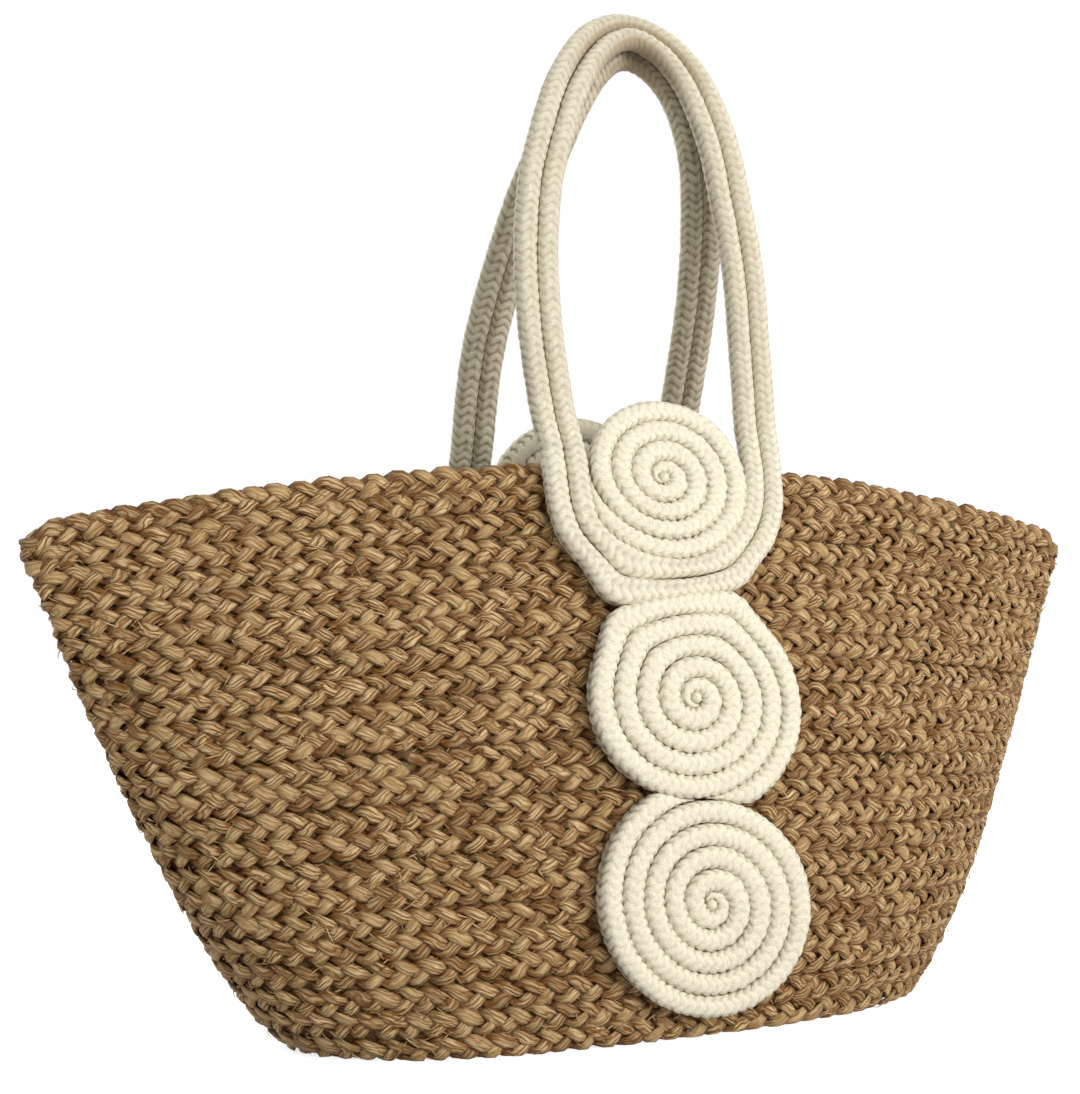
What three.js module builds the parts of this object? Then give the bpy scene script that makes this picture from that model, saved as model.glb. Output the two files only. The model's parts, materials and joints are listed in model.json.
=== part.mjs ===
import * as THREE from 'three';

// A straw handbag with two handles of doubled cotton cord, in millimetres.
// +Z is up, the ground is z = 0, the bag is long in X and its front looks towards -Y.

// Straw body: its mouth and base are pointed and rounded ovals, and the walls swell between them
const mouthHalfLength = 265;
const mouthHalfDepth = 38;
const baseHalfLength = 154;
const baseHalfDepth = 67;
const bagHeight = 245;
const rimEndDrop = 29;
const endSwell = 12.5;
const faceSwell = 19.5;
const hipSwell = 6;
const hipShare = 0.2;
const baseRoundness = { along: 2.85, across: 2 };
const mouthRoundness = { along: 1.3, across: 1.6 };
const plaitThickness = 5;
const mouthEndInset = 2.6;

// Lining and its pocket
const clothThickness = 1.2;
const liningBelowRim = 12;
const pocketWidth = 150;
const pocketTop = 165;
const pocketBottom = 60;
const pocketClearance = 0.95;

// Cotton cord, and the coils that it is wound into, seen from in front: each has its turns, lies so far
// aside of the middle, slants so far aside for each step up, and tucks in its outer end at an angle
const cordDiameter = 10;
const seam = 0.3;
const sewnSeam = 0.6;
const coilWider = 1.01;
const coilLower = 0.93;
const coilSideGap = 0.65;
const firstTurn = 0.52;
const topCoil = { aside: 6.5, turns: 4.47, slant: 0.07, tuck: 225 };
const middleCoil = { aside: 0.5, turns: 5.36, slant: 0.02, tuck: 305 };
const bottomCoil = { aside: 6.7, turns: 5.48, slant: -0.11, tuck: 120 };
const topCoilBelowRim = 5.9;

// Handles: half widths and heights are those of the seam between a handle's two cords
const handleAboveRim = 3;
const crownRoundness = 1.8;
const hingeStand = 0.5;
// How far aside each face's cords lie, its handle's size, measured along the handle's own slope, and at
// shares of that height the degrees that the handle leans in and the distance that it sways aside
const frontFace = {
  aside: 0,
  footHalfWidth: 49.5,
  halfWidth: 53,
  widestAt: 72,
  height: 205,
  lean: [[0.1, 4], [0.36, 4], [0.62, 2], [0.75, 10], [1, 38]],
  sway: [[0, 8.8], [0.25, 5.6], [0.6, 4], [0.8, 7], [1, 14]],
};
const backFace = {
  aside: -7,
  footHalfWidth: 52.5,
  halfWidth: 54,
  widestAt: 45,
  height: 206,
  lean: [[0.1, 15], [0.3, 22], [0.5, 22], [0.65, 14], [0.76, 0], [1, -42]],
  sway: [[0, 8.8], [0.25, 10], [0.6, 13], [0.8, 18], [1, 25]],
};
// The outer cord leaves the inner one under the top coil and runs level between its two corners,
// where both cords are squeezed flatter between the coils
const neckAngle = 23.5;
const neckFade = 11;
const neckSqueeze = 0.83;
const squeezeFade = 32;
// The handle's cords leave the coil this far short of its widest level, on their way up
const legAngles = { left: 28, right: 8 };

// Faces of the meshes
const planSteps = 60;
const liningTopShare = 1 - liningBelowRim / bagHeight;
const wallShares = [0, 0.06, 0.13, 0.22, 0.32, 0.43, 0.54, 0.65, 0.76, 0.86, liningTopShare, 1];
const loopSteps = 24;
const coilSides = 6;
const cordSides = 8;
const wrapSteps = 18;
const legSteps = 7;
const footSteps = 4;
const crownSteps = 16;
const profileSteps = 240;

const tipDepth = 2 * plaitThickness;
const cordRadius = cordDiameter / 2;
const cordPitch = cordDiameter + seam;
const degrees = Math.PI / 180;
const mix = (from, to, share) => from + (to - from) * share;
const swell = (share) => 4 * share * (1 - share);
const smooth = (share) => share * share * (3 - 2 * share);

// Half length and half depth of the straw wall's outside, at a share of its height
function halfLength(share) {
  const hip = hipSwell * (share / hipShare) * Math.exp(1 - share / hipShare);
  const rest = (1 - share) / (1 - hipShare);
  return mix(baseHalfLength, mouthHalfLength, share) + endSwell * swell(share) + hip * rest;
}

function halfDepth(share) {
  return mix(baseHalfDepth, mouthHalfDepth, share) + faceSwell * swell(share);
}

function roundness(share) {
  const along = mix(baseRoundness.along, mouthRoundness.along, share);
  const across = mix(baseRoundness.across, mouthRoundness.across, share);
  return { along, across };
}

// Height of the wall where it stands x from the middle: its rim falls away towards both ends
function rimHeight(x) {
  return bagHeight - rimEndDrop * (x / mouthHalfLength) ** 2;
}

// A point of the wall, inset towards the inside; the pointed ends of the mouth take a longer inset,
// and where the two faces come within the tip depth of the middle the inset shrinks in proportion
function wallPoint(share, turn, inset) {
  const { along, across } = roundness(share);
  const c = Math.cos(turn);
  const s = Math.sin(turn);
  const reach = Math.sign(c) * Math.abs(c) ** (2 / along);
  const outerX = halfLength(share) * reach;
  const outerY = halfDepth(share) * Math.sign(s) * Math.abs(s) ** (2 / across);
  const endInset = inset * mix(1, mouthEndInset, share);
  const x = outerX - endInset * reach;
  const y = outerY - Math.sign(outerY) * inset * Math.min(1, Math.abs(outerY) / tipDepth);
  return new THREE.Vector3(x, y, share * rimHeight(outerX));
}

function wallRing(share, inset) {
  const ring = [];
  for (let i = 0; i < planSteps; i += 1) {
    ring.push(wallPoint(share, (2 * Math.PI * i) / planSteps, inset));
  }
  return ring;
}

function flattened(ring, z) {
  return ring.map((point) => new THREE.Vector3(point.x, point.y, z));
}

function geometryOf(points, triangles) {
  const geometry = new THREE.BufferGeometry();
  const values = points.flatMap((point) => [point.x, point.y, point.z]);
  geometry.setAttribute('position', new THREE.Float32BufferAttribute(values, 3));
  geometry.setIndex(triangles);
  geometry.computeVertexNormals();
  return geometry;
}

// A skin through rings of equal count that climb the outside and come down the inside.
// It closes on itself, or is closed by a floor on each side
function shellGeometry(rings, hasFloor) {
  const count = rings[0].length;
  const points = rings.flat();
  const triangles = [];
  const rows = hasFloor ? rings.length - 1 : rings.length;
  for (let row = 0; row < rows; row += 1) {
    const low = row * count;
    const high = ((row + 1) % rings.length) * count;
    const climbs = row < rings.length / 2;
    for (let i = 0; i < count; i += 1) {
      const next = (i + 1) % count;
      if (climbs) triangles.push(low + i, low + next, high + i, low + next, high + next, high + i);
      else triangles.push(low + i, low + next, high + next, low + i, high + next, high + i);
    }
  }
  if (hasFloor) {
    const last = (rings.length - 1) * count;
    const underside = points.push(new THREE.Vector3(0, 0, rings[0][0].z)) - 1;
    const topside = points.push(new THREE.Vector3(0, 0, rings.at(-1)[0].z)) - 1;
    for (let i = 0; i < count; i += 1) {
      const next = (i + 1) % count;
      triangles.push(underside, next, i);
      triangles.push(topside, last + i, last + next);
    }
  }
  return geometryOf(points, triangles);
}

function strawWallGeometry() {
  const outside = wallShares.map((share) => wallRing(share, 0));
  const inside = wallShares.map((share) => wallRing(share, plaitThickness));
  return shellGeometry([...outside, ...inside.reverse()], false);
}

// The base is an oval coil of the same plait, lying inside the foot of the wall
function strawBaseGeometry() {
  const outline = new THREE.Shape();
  wallRing(0, plaitThickness + seam).forEach((point, i) => {
    if (i === 0) outline.moveTo(point.x, point.y);
    else outline.lineTo(point.x, point.y);
  });
  outline.closePath();
  return new THREE.ExtrudeGeometry(outline, { depth: plaitThickness, bevelEnabled: false });
}

const liningOutset = plaitThickness + seam;
const liningInset = liningOutset + clothThickness;
const liningFloor = plaitThickness + seam;

// A ring on the flat facets between two rings of the wall, so that the lining lies against them
function facetRing(share, inset) {
  const i = Math.max(1, wallShares.findIndex((level) => level >= share));
  const low = wallRing(wallShares[i - 1], inset);
  const high = wallRing(wallShares[i], inset);
  const part = (share - wallShares[i - 1]) / (wallShares[i] - wallShares[i - 1]);
  return low.map((point, k) => point.lerp(high[k], part));
}

function liningRings(floor, inset) {
  const low = floor / bagHeight;
  const above = wallShares.filter((share) => share > low && share <= liningTopShare);
  const rings = [low, ...above].map((share) => facetRing(share, inset));
  rings[0] = flattened(rings[0], floor);
  return rings;
}

function liningGeometry() {
  const outside = liningRings(liningFloor, liningOutset);
  const inside = liningRings(liningFloor + clothThickness, liningInset);
  return shellGeometry([...outside, ...inside.reverse()], true);
}

// Depth of the front's outside at x and z, and the middle line of the face measured up from the rim
function depthAt(x, z) {
  const share = Math.min(z / rimHeight(x), 1);
  const { along, across } = roundness(share);
  const reach = Math.min(Math.abs(x) / halfLength(share), 1);
  return halfDepth(share) * (1 - reach ** along) ** (1 / across);
}

// The pocket is a flat cloth pouch on the lining of the back, following its curve
function pocketGeometry() {
  const columns = 12;
  const rows = 6;
  const sheets = [pocketClearance, pocketClearance + clothThickness].map((gap) => {
    const points = [];
    for (let row = 0; row <= rows; row += 1) {
      for (let column = 0; column <= columns; column += 1) {
        const x = mix(-pocketWidth / 2, pocketWidth / 2, column / columns);
        const z = mix(pocketBottom, pocketTop, row / rows);
        points.push(new THREE.Vector3(x, depthAt(x, z) - liningInset - gap, z));
      }
    }
    return points;
  });
  const points = sheets.flat();
  const inner = sheets[0].length;
  const triangles = [];
  const at = (row, column) => row * (columns + 1) + column;
  for (let row = 0; row < rows; row += 1) {
    for (let column = 0; column < columns; column += 1) {
      const a = at(row, column);
      const b = at(row, column + 1);
      const c = at(row + 1, column + 1);
      const d = at(row + 1, column);
      triangles.push(a, c, b, a, d, c);
      triangles.push(inner + a, inner + b, inner + c, inner + a, inner + c, inner + d);
    }
  }
  const edge = [];
  for (let column = 0; column < columns; column += 1) edge.push(at(0, column));
  for (let row = 0; row < rows; row += 1) edge.push(at(row, columns));
  for (let column = columns; column > 0; column -= 1) edge.push(at(rows, column));
  for (let row = rows; row > 0; row -= 1) edge.push(at(row, 0));
  edge.forEach((from, i) => {
    const to = edge[(i + 1) % edge.length];
    triangles.push(from, to, inner + to, from, inner + to, inner + from);
  });
  return geometryOf(points, triangles);
}

const faceLine = [];
for (let i = 0; i <= profileSteps; i += 1) {
  const z = (bagHeight * (profileSteps - i)) / profileSteps;
  const point = new THREE.Vector2(-depthAt(0, z), z);
  const before = faceLine.at(-1);
  const up = before ? before.up - before.point.distanceTo(point) : 0;
  faceLine.push({ up, point });
}
const rimDirection = faceLine[0].point.clone().sub(faceLine[1].point).normalize();
const rimLean = Math.asin(rimDirection.x) / degrees;

function faceMiddle(up) {
  if (up >= 0) return faceLine[0].point.clone().addScaledVector(rimDirection, up);
  const found = faceLine.findIndex((entry) => entry.up <= up);
  const i = found < 0 ? profileSteps : found;
  const above = faceLine[i - 1];
  const below = faceLine[i];
  return below.point.clone().lerp(above.point, (up - below.up) / (above.up - below.up));
}

function faceSurface(aside, up) {
  const middle = faceMiddle(up);
  const z = Math.min(middle.y, rimHeight(aside));
  const sag = depthAt(0, z) - depthAt(aside, z);
  return new THREE.Vector3(aside, middle.x + sag, middle.y);
}

// A stop of a cord laid on the front face: its middle, and the way out of the face
function faceStop(aside, up, lift) {
  const along = faceSurface(aside + 1, up).sub(faceSurface(aside - 1, up));
  const rising = faceSurface(aside, up + 1).sub(faceSurface(aside, up - 1));
  const out = along.cross(rising).normalize();
  return { middle: faceSurface(aside, up).addScaledVector(out, lift), out };
}

// A closed tube through stops, each squeezed sideways by its own share. ends gives the direction of
// its two end faces, where they are set
function tubePoints(stops, radius, sides, ends) {
  const points = [];
  stops.forEach(({ middle, out, squeeze = 1 }, i) => {
    const before = stops[Math.max(i - 1, 0)].middle;
    const after = stops[Math.min(i + 1, stops.length - 1)].middle;
    let ahead = after.clone().sub(before).normalize();
    if (ends && i === 0) ahead = ends[0].clone();
    if (ends && i === stops.length - 1) ahead = ends[1].clone();
    const up = out.clone().addScaledVector(ahead, -out.dot(ahead)).normalize();
    const side = ahead.clone().cross(up);
    for (let k = 0; k < sides; k += 1) {
      const turn = (2 * Math.PI * k) / sides;
      const point = middle.clone().addScaledVector(up, radius * Math.cos(turn));
      points.push(point.addScaledVector(side, radius * Math.sin(turn) * squeeze));
    }
  });
  return points;
}

function tubeGeometry(points, sides, isBack) {
  const triangles = [];
  const rings = points.length / sides;
  for (let ring = 0; ring < rings - 1; ring += 1) {
    for (let k = 0; k < sides; k += 1) {
      const a = ring * sides + k;
      const b = ring * sides + ((k + 1) % sides);
      triangles.push(a, b, a + sides, b, b + sides, a + sides);
    }
  }
  const last = (rings - 1) * sides;
  for (let k = 1; k < sides - 1; k += 1) {
    triangles.push(0, k + 1, k);
    triangles.push(last, last + k, last + k + 1);
  }
  if (!isBack) return geometryOf(points, triangles);
  const mirrored = points.map((point) => new THREE.Vector3(point.x, -point.y, point.z));
  return geometryOf(mirrored, triangles.reverse());
}

// The three coils, stacked down the face with the handle's two cords between the first two.
// Half thickness of a coil's six-sided cord, flat sides towards its neighbours
const coilHalfWidth = (cordDiameter * coilLower - coilSideGap) / 2;
const coilRadius = coilHalfWidth / Math.cos(Math.PI / coilSides);

// Turns that lie inside a coil's edge at an angle: they grow clockwise and end at the tuck
const wholeTurn = 360;
const bottomAngle = 270;
const topAngle = 90;
function turnsAt(coil, angle) {
  const back = (((angle - coil.tuck) % wholeTurn) + wholeTurn) % wholeTurn;
  return coil.turns - back / wholeTurn;
}

const edgeUp = (coil, angle) => turnsAt(coil, angle) * cordDiameter * coilLower;
const neckCord = cordDiameter * neckSqueeze;
const neckDrop = edgeUp(topCoil, bottomAngle) + seam + neckCord + sewnSeam + neckCord / 2;
topCoil.up = -topCoilBelowRim;
middleCoil.up = topCoil.up - neckDrop - neckCord / 2 - seam - edgeUp(middleCoil, topAngle);
bottomCoil.up = middleCoil.up - edgeUp(middleCoil, bottomAngle) - seam - edgeUp(bottomCoil, topAngle);

function coilPoints(coil, face) {
  const turns = coil.turns - 0.5;
  const steps = Math.round((turns - firstTurn) * loopSteps);
  const stops = [];
  for (let i = steps; i >= 0; i -= 1) {
    const radius = (turns - i / loopSteps) * cordDiameter;
    const angle = coil.tuck * degrees + (2 * Math.PI * i) / loopSteps;
    const rise = radius * Math.sin(angle);
    const aside = coil.aside + radius * Math.cos(angle) * coilWider + rise * coil.slant;
    stops.push(faceStop(face.aside + aside, coil.up + rise * coilLower, coilRadius + seam));
  }
  return tubePoints(stops, coilRadius, coilSides);
}

// Least distance between the corners of two turns of one coil, at least half a turn apart
function leastGap(points) {
  let least = Infinity;
  const apart = (loopSteps / 2) * coilSides;
  for (let i = 0; i < points.length; i += 1) {
    for (let j = i + apart; j < points.length; j += 1) {
      least = Math.min(least, points[i].distanceTo(points[j]));
    }
  }
  return least;
}

// The sewn runs: the handle's cords laid round the lower half of the top coil.
// wrap is 0 for the inner cord and 1 for the outer one
const leftAngle = 180;
function squeezeAt(angle) {
  const past = (Math.abs(angle - bottomAngle) - neckAngle) / squeezeFade;
  return mix(neckSqueeze, 1, smooth(Math.min(Math.max(past, 0), 1)));
}

function wrapPoint(wrap, angle) {
  const cord = cordDiameter * squeezeAt(angle);
  const offset = seam + cord / 2 + wrap * (cord + sewnSeam);
  const tucked = Math.max(0, (topCoil.tuck - angle) / (topCoil.tuck - leftAngle));
  const turns = angle < topCoil.tuck
    ? mix(topCoil.turns, turnsAt(topCoil, leftAngle), smooth(tucked))
    : turnsAt(topCoil, angle);
  const fromBottom = Math.abs(angle - bottomAngle);
  const level = neckDrop / Math.cos(neckAngle * degrees) - neckDrop;
  let bump = level * Math.exp(-(((fromBottom - neckAngle) / neckFade) ** 2));
  if (fromBottom <= neckAngle) bump = neckDrop / Math.cos(fromBottom * degrees) - neckDrop;
  const c = Math.cos(angle * degrees);
  const s = Math.sin(angle * degrees);
  const y = s * (turns * cordDiameter * coilLower + offset + wrap * bump);
  const slanted = (y / coilLower) * topCoil.slant;
  const x = c * (turns * cordDiameter * coilWider + offset + wrap * bump) + slanted;
  return { x, y, squeeze: squeezeAt(angle) };
}

const footUp = handleAboveRim - seam / 2;
const ridge = cordRadius + seam;

// From the coil's side up to the handle's foot: both cords follow a curve that leaves along the coil
// and ends upright, half a pitch to either side of it. sign is -1 on the left and 1 on the right
function footCurve(face, wrap, angle, sign) {
  const { x, y } = wrapPoint(0.5, angle);
  const next = wrapPoint(0.5, angle + sign);
  const from = new THREE.Vector2(x, y);
  const foot = sideAt(face, 0) - face.aside + sign * face.footHalfWidth;
  const to = new THREE.Vector2(foot - topCoil.aside, footUp - topCoil.up);
  const ahead = new THREE.Vector2(next.x - x, next.y - y).normalize();
  const third = from.distanceTo(to) / 3;
  const near = from.clone().addScaledVector(ahead, third);
  const far = new THREE.Vector2(to.x, to.y - third);
  const curve = new THREE.CubicBezierCurve(from, near, far, to);
  const offset = sign * (wrap - 0.5) * cordPitch;
  const run = [];
  for (let i = 0; i <= footSteps; i += 1) {
    const point = curve.getPoint(i / footSteps);
    const tangent = curve.getTangent(i / footSteps);
    run.push(new THREE.Vector2(point.x + tangent.y * offset, point.y - tangent.x * offset));
  }
  return run;
}

function sewnPoints(face, wrap) {
  const first = leftAngle + legAngles.left;
  const last = wholeTurn - legAngles.right;
  const run = footCurve(face, wrap, first, -1).reverse();
  for (let i = 1; i < wrapSteps; i += 1) run.push(wrapPoint(wrap, mix(first, last, i / wrapSteps)));
  run.push(...footCurve(face, wrap, last, 1));
  const stops = run.map(({ x, y, squeeze }) => {
    return { ...faceStop(face.aside + topCoil.aside + x, topCoil.up + y, ridge), squeeze };
  });
  const rise = new THREE.Vector3(0, rimDirection.x, rimDirection.y);
  const end = handleFoot(face).addScaledVector(rise, -seam / 2);
  [stops[0], stops.at(-1)].forEach(({ middle }) => middle.set(middle.x, end.y, end.z));
  return tubePoints(stops, cordRadius, cordSides, [rise.clone().negate(), rise]);
}

// A value along a handle, from its list of shares of the height and values there
function valueAt(knots, share) {
  const i = Math.max(1, knots.findIndex(([at]) => at >= Math.min(share, 1)));
  const [from, first] = knots[i - 1];
  const [to, second] = knots[i];
  return mix(first, second, (share - from) / (to - from));
}

function sideAt(face, height) {
  return face.aside + valueAt(face.sway, height / face.height);
}

function leanAt(face, height) {
  return valueAt([[0, rimLean], ...face.lean], Math.min(height / face.height, 1)) * degrees;
}

// Of a handle's two feet the one that stands further out, and the place that it reaches above it
function handleFoot(face) {
  const [left, right] = [-1, 1].map((sign) => {
    return faceStop(sideAt(face, 0) + sign * face.footHalfWidth, handleAboveRim, ridge).middle;
  });
  return left.y < right.y ? left : right;
}

function handleStation(face, height) {
  const foot = handleFoot(face);
  const station = new THREE.Vector2(foot.y, foot.z);
  const slices = 120;
  for (let i = 0; i < slices; i += 1) {
    const lean = leanAt(face, (height * (i + 0.5)) / slices);
    station.x += (Math.sin(lean) * height) / slices;
    station.y += (Math.cos(lean) * height) / slices;
  }
  return station;
}

// Half of the seam between the two cords, from its foot to the crown
function seamHalf(face) {
  const half = [];
  for (let i = 0; i < legSteps; i += 1) {
    const share = i / legSteps;
    const narrow = (face.halfWidth - face.footHalfWidth) * (1 - share) ** 2;
    half.push(new THREE.Vector2(face.halfWidth - narrow, face.widestAt * share));
  }
  const crown = face.height - face.widestAt;
  for (let i = 0; i <= crownSteps; i += 1) {
    const turn = (Math.PI / 2) * (i / crownSteps);
    const rise = crown * Math.sin(turn) ** (2 / crownRoundness);
    const x = face.halfWidth * Math.cos(turn) ** (2 / crownRoundness);
    half.push(new THREE.Vector2(x, face.widestAt + rise));
  }
  return half;
}

function archPoints(face, wrap) {
  const half = seamHalf(face);
  const right = half.map(({ x, y }) => new THREE.Vector2(sideAt(face, y) + x, y));
  const left = half.slice(0, -1).map(({ x, y }) => new THREE.Vector2(sideAt(face, y) - x, y));
  const whole = [...right, ...left.reverse()];
  const offset = (wrap - 0.5) * cordPitch;
  const stops = whole.map((point, i) => {
    const before = whole[Math.max(i - 1, 0)];
    const after = whole[Math.min(i + 1, whole.length - 1)];
    const ahead = after.clone().sub(before).normalize();
    if (i === 0 || i === whole.length - 1) ahead.set(0, i === 0 ? 1 : -1);
    const height = point.y - ahead.x * offset;
    const lean = leanAt(face, Math.max(height, 0));
    const station = handleStation(face, height + (height < seam ? seam / 2 : 0));
    const middle = new THREE.Vector3(point.x + ahead.y * offset, station.x, station.y);
    return { middle, out: new THREE.Vector3(0, -Math.cos(lean), Math.sin(lean)) };
  });
  const rise = new THREE.Vector3(0, rimDirection.x, rimDirection.y);
  return tubePoints(stops, cordRadius, cordSides, [rise, rise.clone().negate()]);
}

// Where a handle folds: level with its foot, just in front of its cords
function hingePoint(face) {
  const out = new THREE.Vector3(0, -rimDirection.y, rimDirection.x);
  return handleFoot(face).addScaledVector(out, cordRadius + hingeStand);
}

const straw = new THREE.MeshStandardMaterial({ color: 0x9a784c, roughness: 0.8 });
const cotton = new THREE.MeshStandardMaterial({ color: 0xebe3ca, roughness: 0.9 });
const cloth = new THREE.MeshStandardMaterial({ color: 0xd9ceb4, roughness: 0.95 });
const handbag = new THREE.Group();

function addPiece(parent, name, geometry, material) {
  const mesh = new THREE.Mesh(geometry, material);
  mesh.name = name;
  parent.add(mesh);
}

addPiece(handbag, 'straw_wall', strawWallGeometry(), straw);
addPiece(handbag, 'straw_base', strawBaseGeometry(), straw);
addPiece(handbag, 'lining', liningGeometry(), cloth);
addPiece(handbag, 'lining_pocket', pocketGeometry(), cloth);

const faces = [['front', false, frontFace], ['back', true, backFace]];
const coils = [['top', topCoil], ['middle', middleCoil], ['bottom', bottomCoil]];
for (const [side, isBack, face] of faces) {
  const cords = new THREE.Group();
  handbag.add(cords);
  for (const [place, coil] of coils) {
    const points = coilPoints(coil, face);
    addPiece(cords, `${side}_${place}_coil`, tubeGeometry(points, coilSides, isBack), cotton);
    console.log(side, place, 'coil: least gap to itself', leastGap(points).toFixed(2), 'mm');
  }
  ['inner', 'outer'].forEach((name, wrap) => {
    const sewn = tubeGeometry(sewnPoints(face, wrap), cordSides, isBack);
    const arch = tubeGeometry(archPoints(face, wrap), cordSides, isBack);
    addPiece(cords, `${side}_${name}_sewn_cord`, sewn, cotton);
    addPiece(cords, `${side}_${name}_handle_cord`, arch, cotton);
  });
  const hinge = hingePoint(face);
  console.log(side, 'handle folds about depth', (-hinge.y).toFixed(2), 'height', hinge.z.toFixed(2));
}

export default handbag;
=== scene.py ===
import json
import math

import bpy
import numpy as np
from mathutils import Matrix, Vector


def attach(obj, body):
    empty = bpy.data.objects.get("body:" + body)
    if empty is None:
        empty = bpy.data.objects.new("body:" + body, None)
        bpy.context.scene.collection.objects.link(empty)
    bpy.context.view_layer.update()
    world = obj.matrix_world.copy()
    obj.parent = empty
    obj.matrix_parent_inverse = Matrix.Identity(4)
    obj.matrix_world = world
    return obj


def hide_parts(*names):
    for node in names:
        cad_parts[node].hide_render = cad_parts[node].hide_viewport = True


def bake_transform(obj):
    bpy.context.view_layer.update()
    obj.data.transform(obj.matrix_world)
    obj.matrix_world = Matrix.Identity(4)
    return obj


# A straw handbag: rows of straw plait, coils and handles of cotton rope, and a cotton lining.
# Shapes are worked out in millimetres and turned to metres when a mesh is made.
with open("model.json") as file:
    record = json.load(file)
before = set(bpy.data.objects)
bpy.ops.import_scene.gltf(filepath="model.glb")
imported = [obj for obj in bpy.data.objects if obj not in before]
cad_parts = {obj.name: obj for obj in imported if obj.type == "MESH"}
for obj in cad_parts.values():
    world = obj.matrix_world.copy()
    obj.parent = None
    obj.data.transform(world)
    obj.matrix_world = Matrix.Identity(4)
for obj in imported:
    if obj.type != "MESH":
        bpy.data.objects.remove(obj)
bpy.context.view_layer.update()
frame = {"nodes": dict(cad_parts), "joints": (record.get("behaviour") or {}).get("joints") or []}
print("frame loaded:", len(frame["nodes"]), "nodes")

millimetre = 0.001
scene = bpy.context.scene
scene.view_settings.view_transform = "Standard"

cameraValues = {
    "place": (-392.6, -752.4, 171.65),
    "yaw": 25.50,
    "pitch": 2.606,
    "roll": -0.949,
    "focalPixels": 1856.8,
    "frameHeight": 1094,
    "sensor": 36,
}


def addCamera(values):
    data = bpy.data.cameras.new("camera")
    data.sensor_width = values["sensor"]
    data.lens = values["focalPixels"] / values["frameHeight"] * values["sensor"]
    data.clip_start = 0.01
    yaw, pitch, roll = (math.radians(values[name]) for name in ("yaw", "pitch", "roll"))
    ahead = Vector((math.sin(yaw) * math.cos(pitch), math.cos(yaw) * math.cos(pitch), math.sin(pitch)))
    level = Vector((math.cos(yaw), -math.sin(yaw), 0))
    upright = level.cross(ahead)
    right = level * math.cos(roll) + upright * math.sin(roll)
    up = upright * math.cos(roll) - level * math.sin(roll)
    camera = bpy.data.objects.new("camera", data)
    turned = Matrix((right, up, -ahead)).transposed().to_4x4()
    camera.matrix_world = Matrix.Translation(Vector(values["place"]) * millimetre) @ turned
    scene.collection.objects.link(camera)
    scene.camera = camera


addCamera(cameraValues)


def linear(hexText):
    values = [int(hexText[i:i + 2], 16) / 255 for i in (1, 3, 5)]
    return [v / 12.92 if v <= 0.04045 else ((v + 0.055) / 1.055) ** 2.4 for v in values] + [1]


def addNode(tree, kind, settings=None, inputs=None, links=None):
    # a node given as a link stands for the first of its outputs that is in use
    node = tree.nodes.new("ShaderNode" + kind)
    for name, value in (settings or {}).items():
        if name == "ramp":
            for i, (place, colour) in enumerate(value):
                stop = node.color_ramp.elements[i] if i < 2 else node.color_ramp.elements.new(place)
                stop.position = place
                stop.color = linear(colour)
        else:
            setattr(node, name, value)
    for name, value in (inputs or {}).items():
        node.inputs[name].default_value = value
    for name, source in (links or {}).items():
        if isinstance(source, bpy.types.Node):
            source = next(output for output in source.outputs if output.enabled)
        tree.links.new(source, node.inputs[name])
    return node


def newMaterial(name):
    material = bpy.data.materials.new(name)
    material.use_nodes = True
    material.node_tree.nodes.clear()
    return material, material.node_tree


def finishMaterial(tree, values, colour, height=None):
    # the shader that every fibre here ends in, over its relief where it has one
    links = {"Base Color": colour}
    if height:
        depth = {"Strength": values["reliefStrength"], "Distance": values["reliefDepth"] * millimetre}
        links["Normal"] = addNode(tree, "Bump", {}, depth, {"Height": height})
    surface = addNode(tree, "BsdfPrincipled", {}, values["surface"], links)
    addNode(tree, "OutputMaterial", links={"Surface": surface})


fibreIor = 1.5  # of plant fibre, straw and cotton alike
fibreNoise = {"Scale": 1, "Detail": 3, "Roughness": 0.6}

strawFinish = {
    "fibre": [(0.31, "#562d06"), (0.53, "#946b38"), (0.71, "#e8cc9c")],  # dark vein, straw, worn ridge
    "tones": (("#caa975", 0.5, 1), ("#75502a", 0.45, 0)),  # sunlit and stained straws, by their tone
    "toneShare": 0.6,  # that the palest and the darkest straws take of those two
    # painted shade, where a strand lies under others, at its edges, and on the straw packed behind
    "underside": "#6a3a07",
    "surface": {"Roughness": 0.6, "IOR": fibreIor, "Specular IOR Level": 0.2},
    "fibreWidth": 0.6,  # mm
    "fibreLength": 9.0,  # mm
    "bladeWidth": 2.3,  # mm, of one flattened straw in a strand
    "bladeShare": 0.27,  # of the pattern that the edges between straws make
    "bladeBend": 11,  # radians that those edges waver
    "bendWidth": 4.6,  # mm, across the straws
    "bendMark": 3,
    "bladeSharpness": 0.5,
    "reliefStrength": 1,
    "reliefDepth": 1.4,  # mm
}


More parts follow.
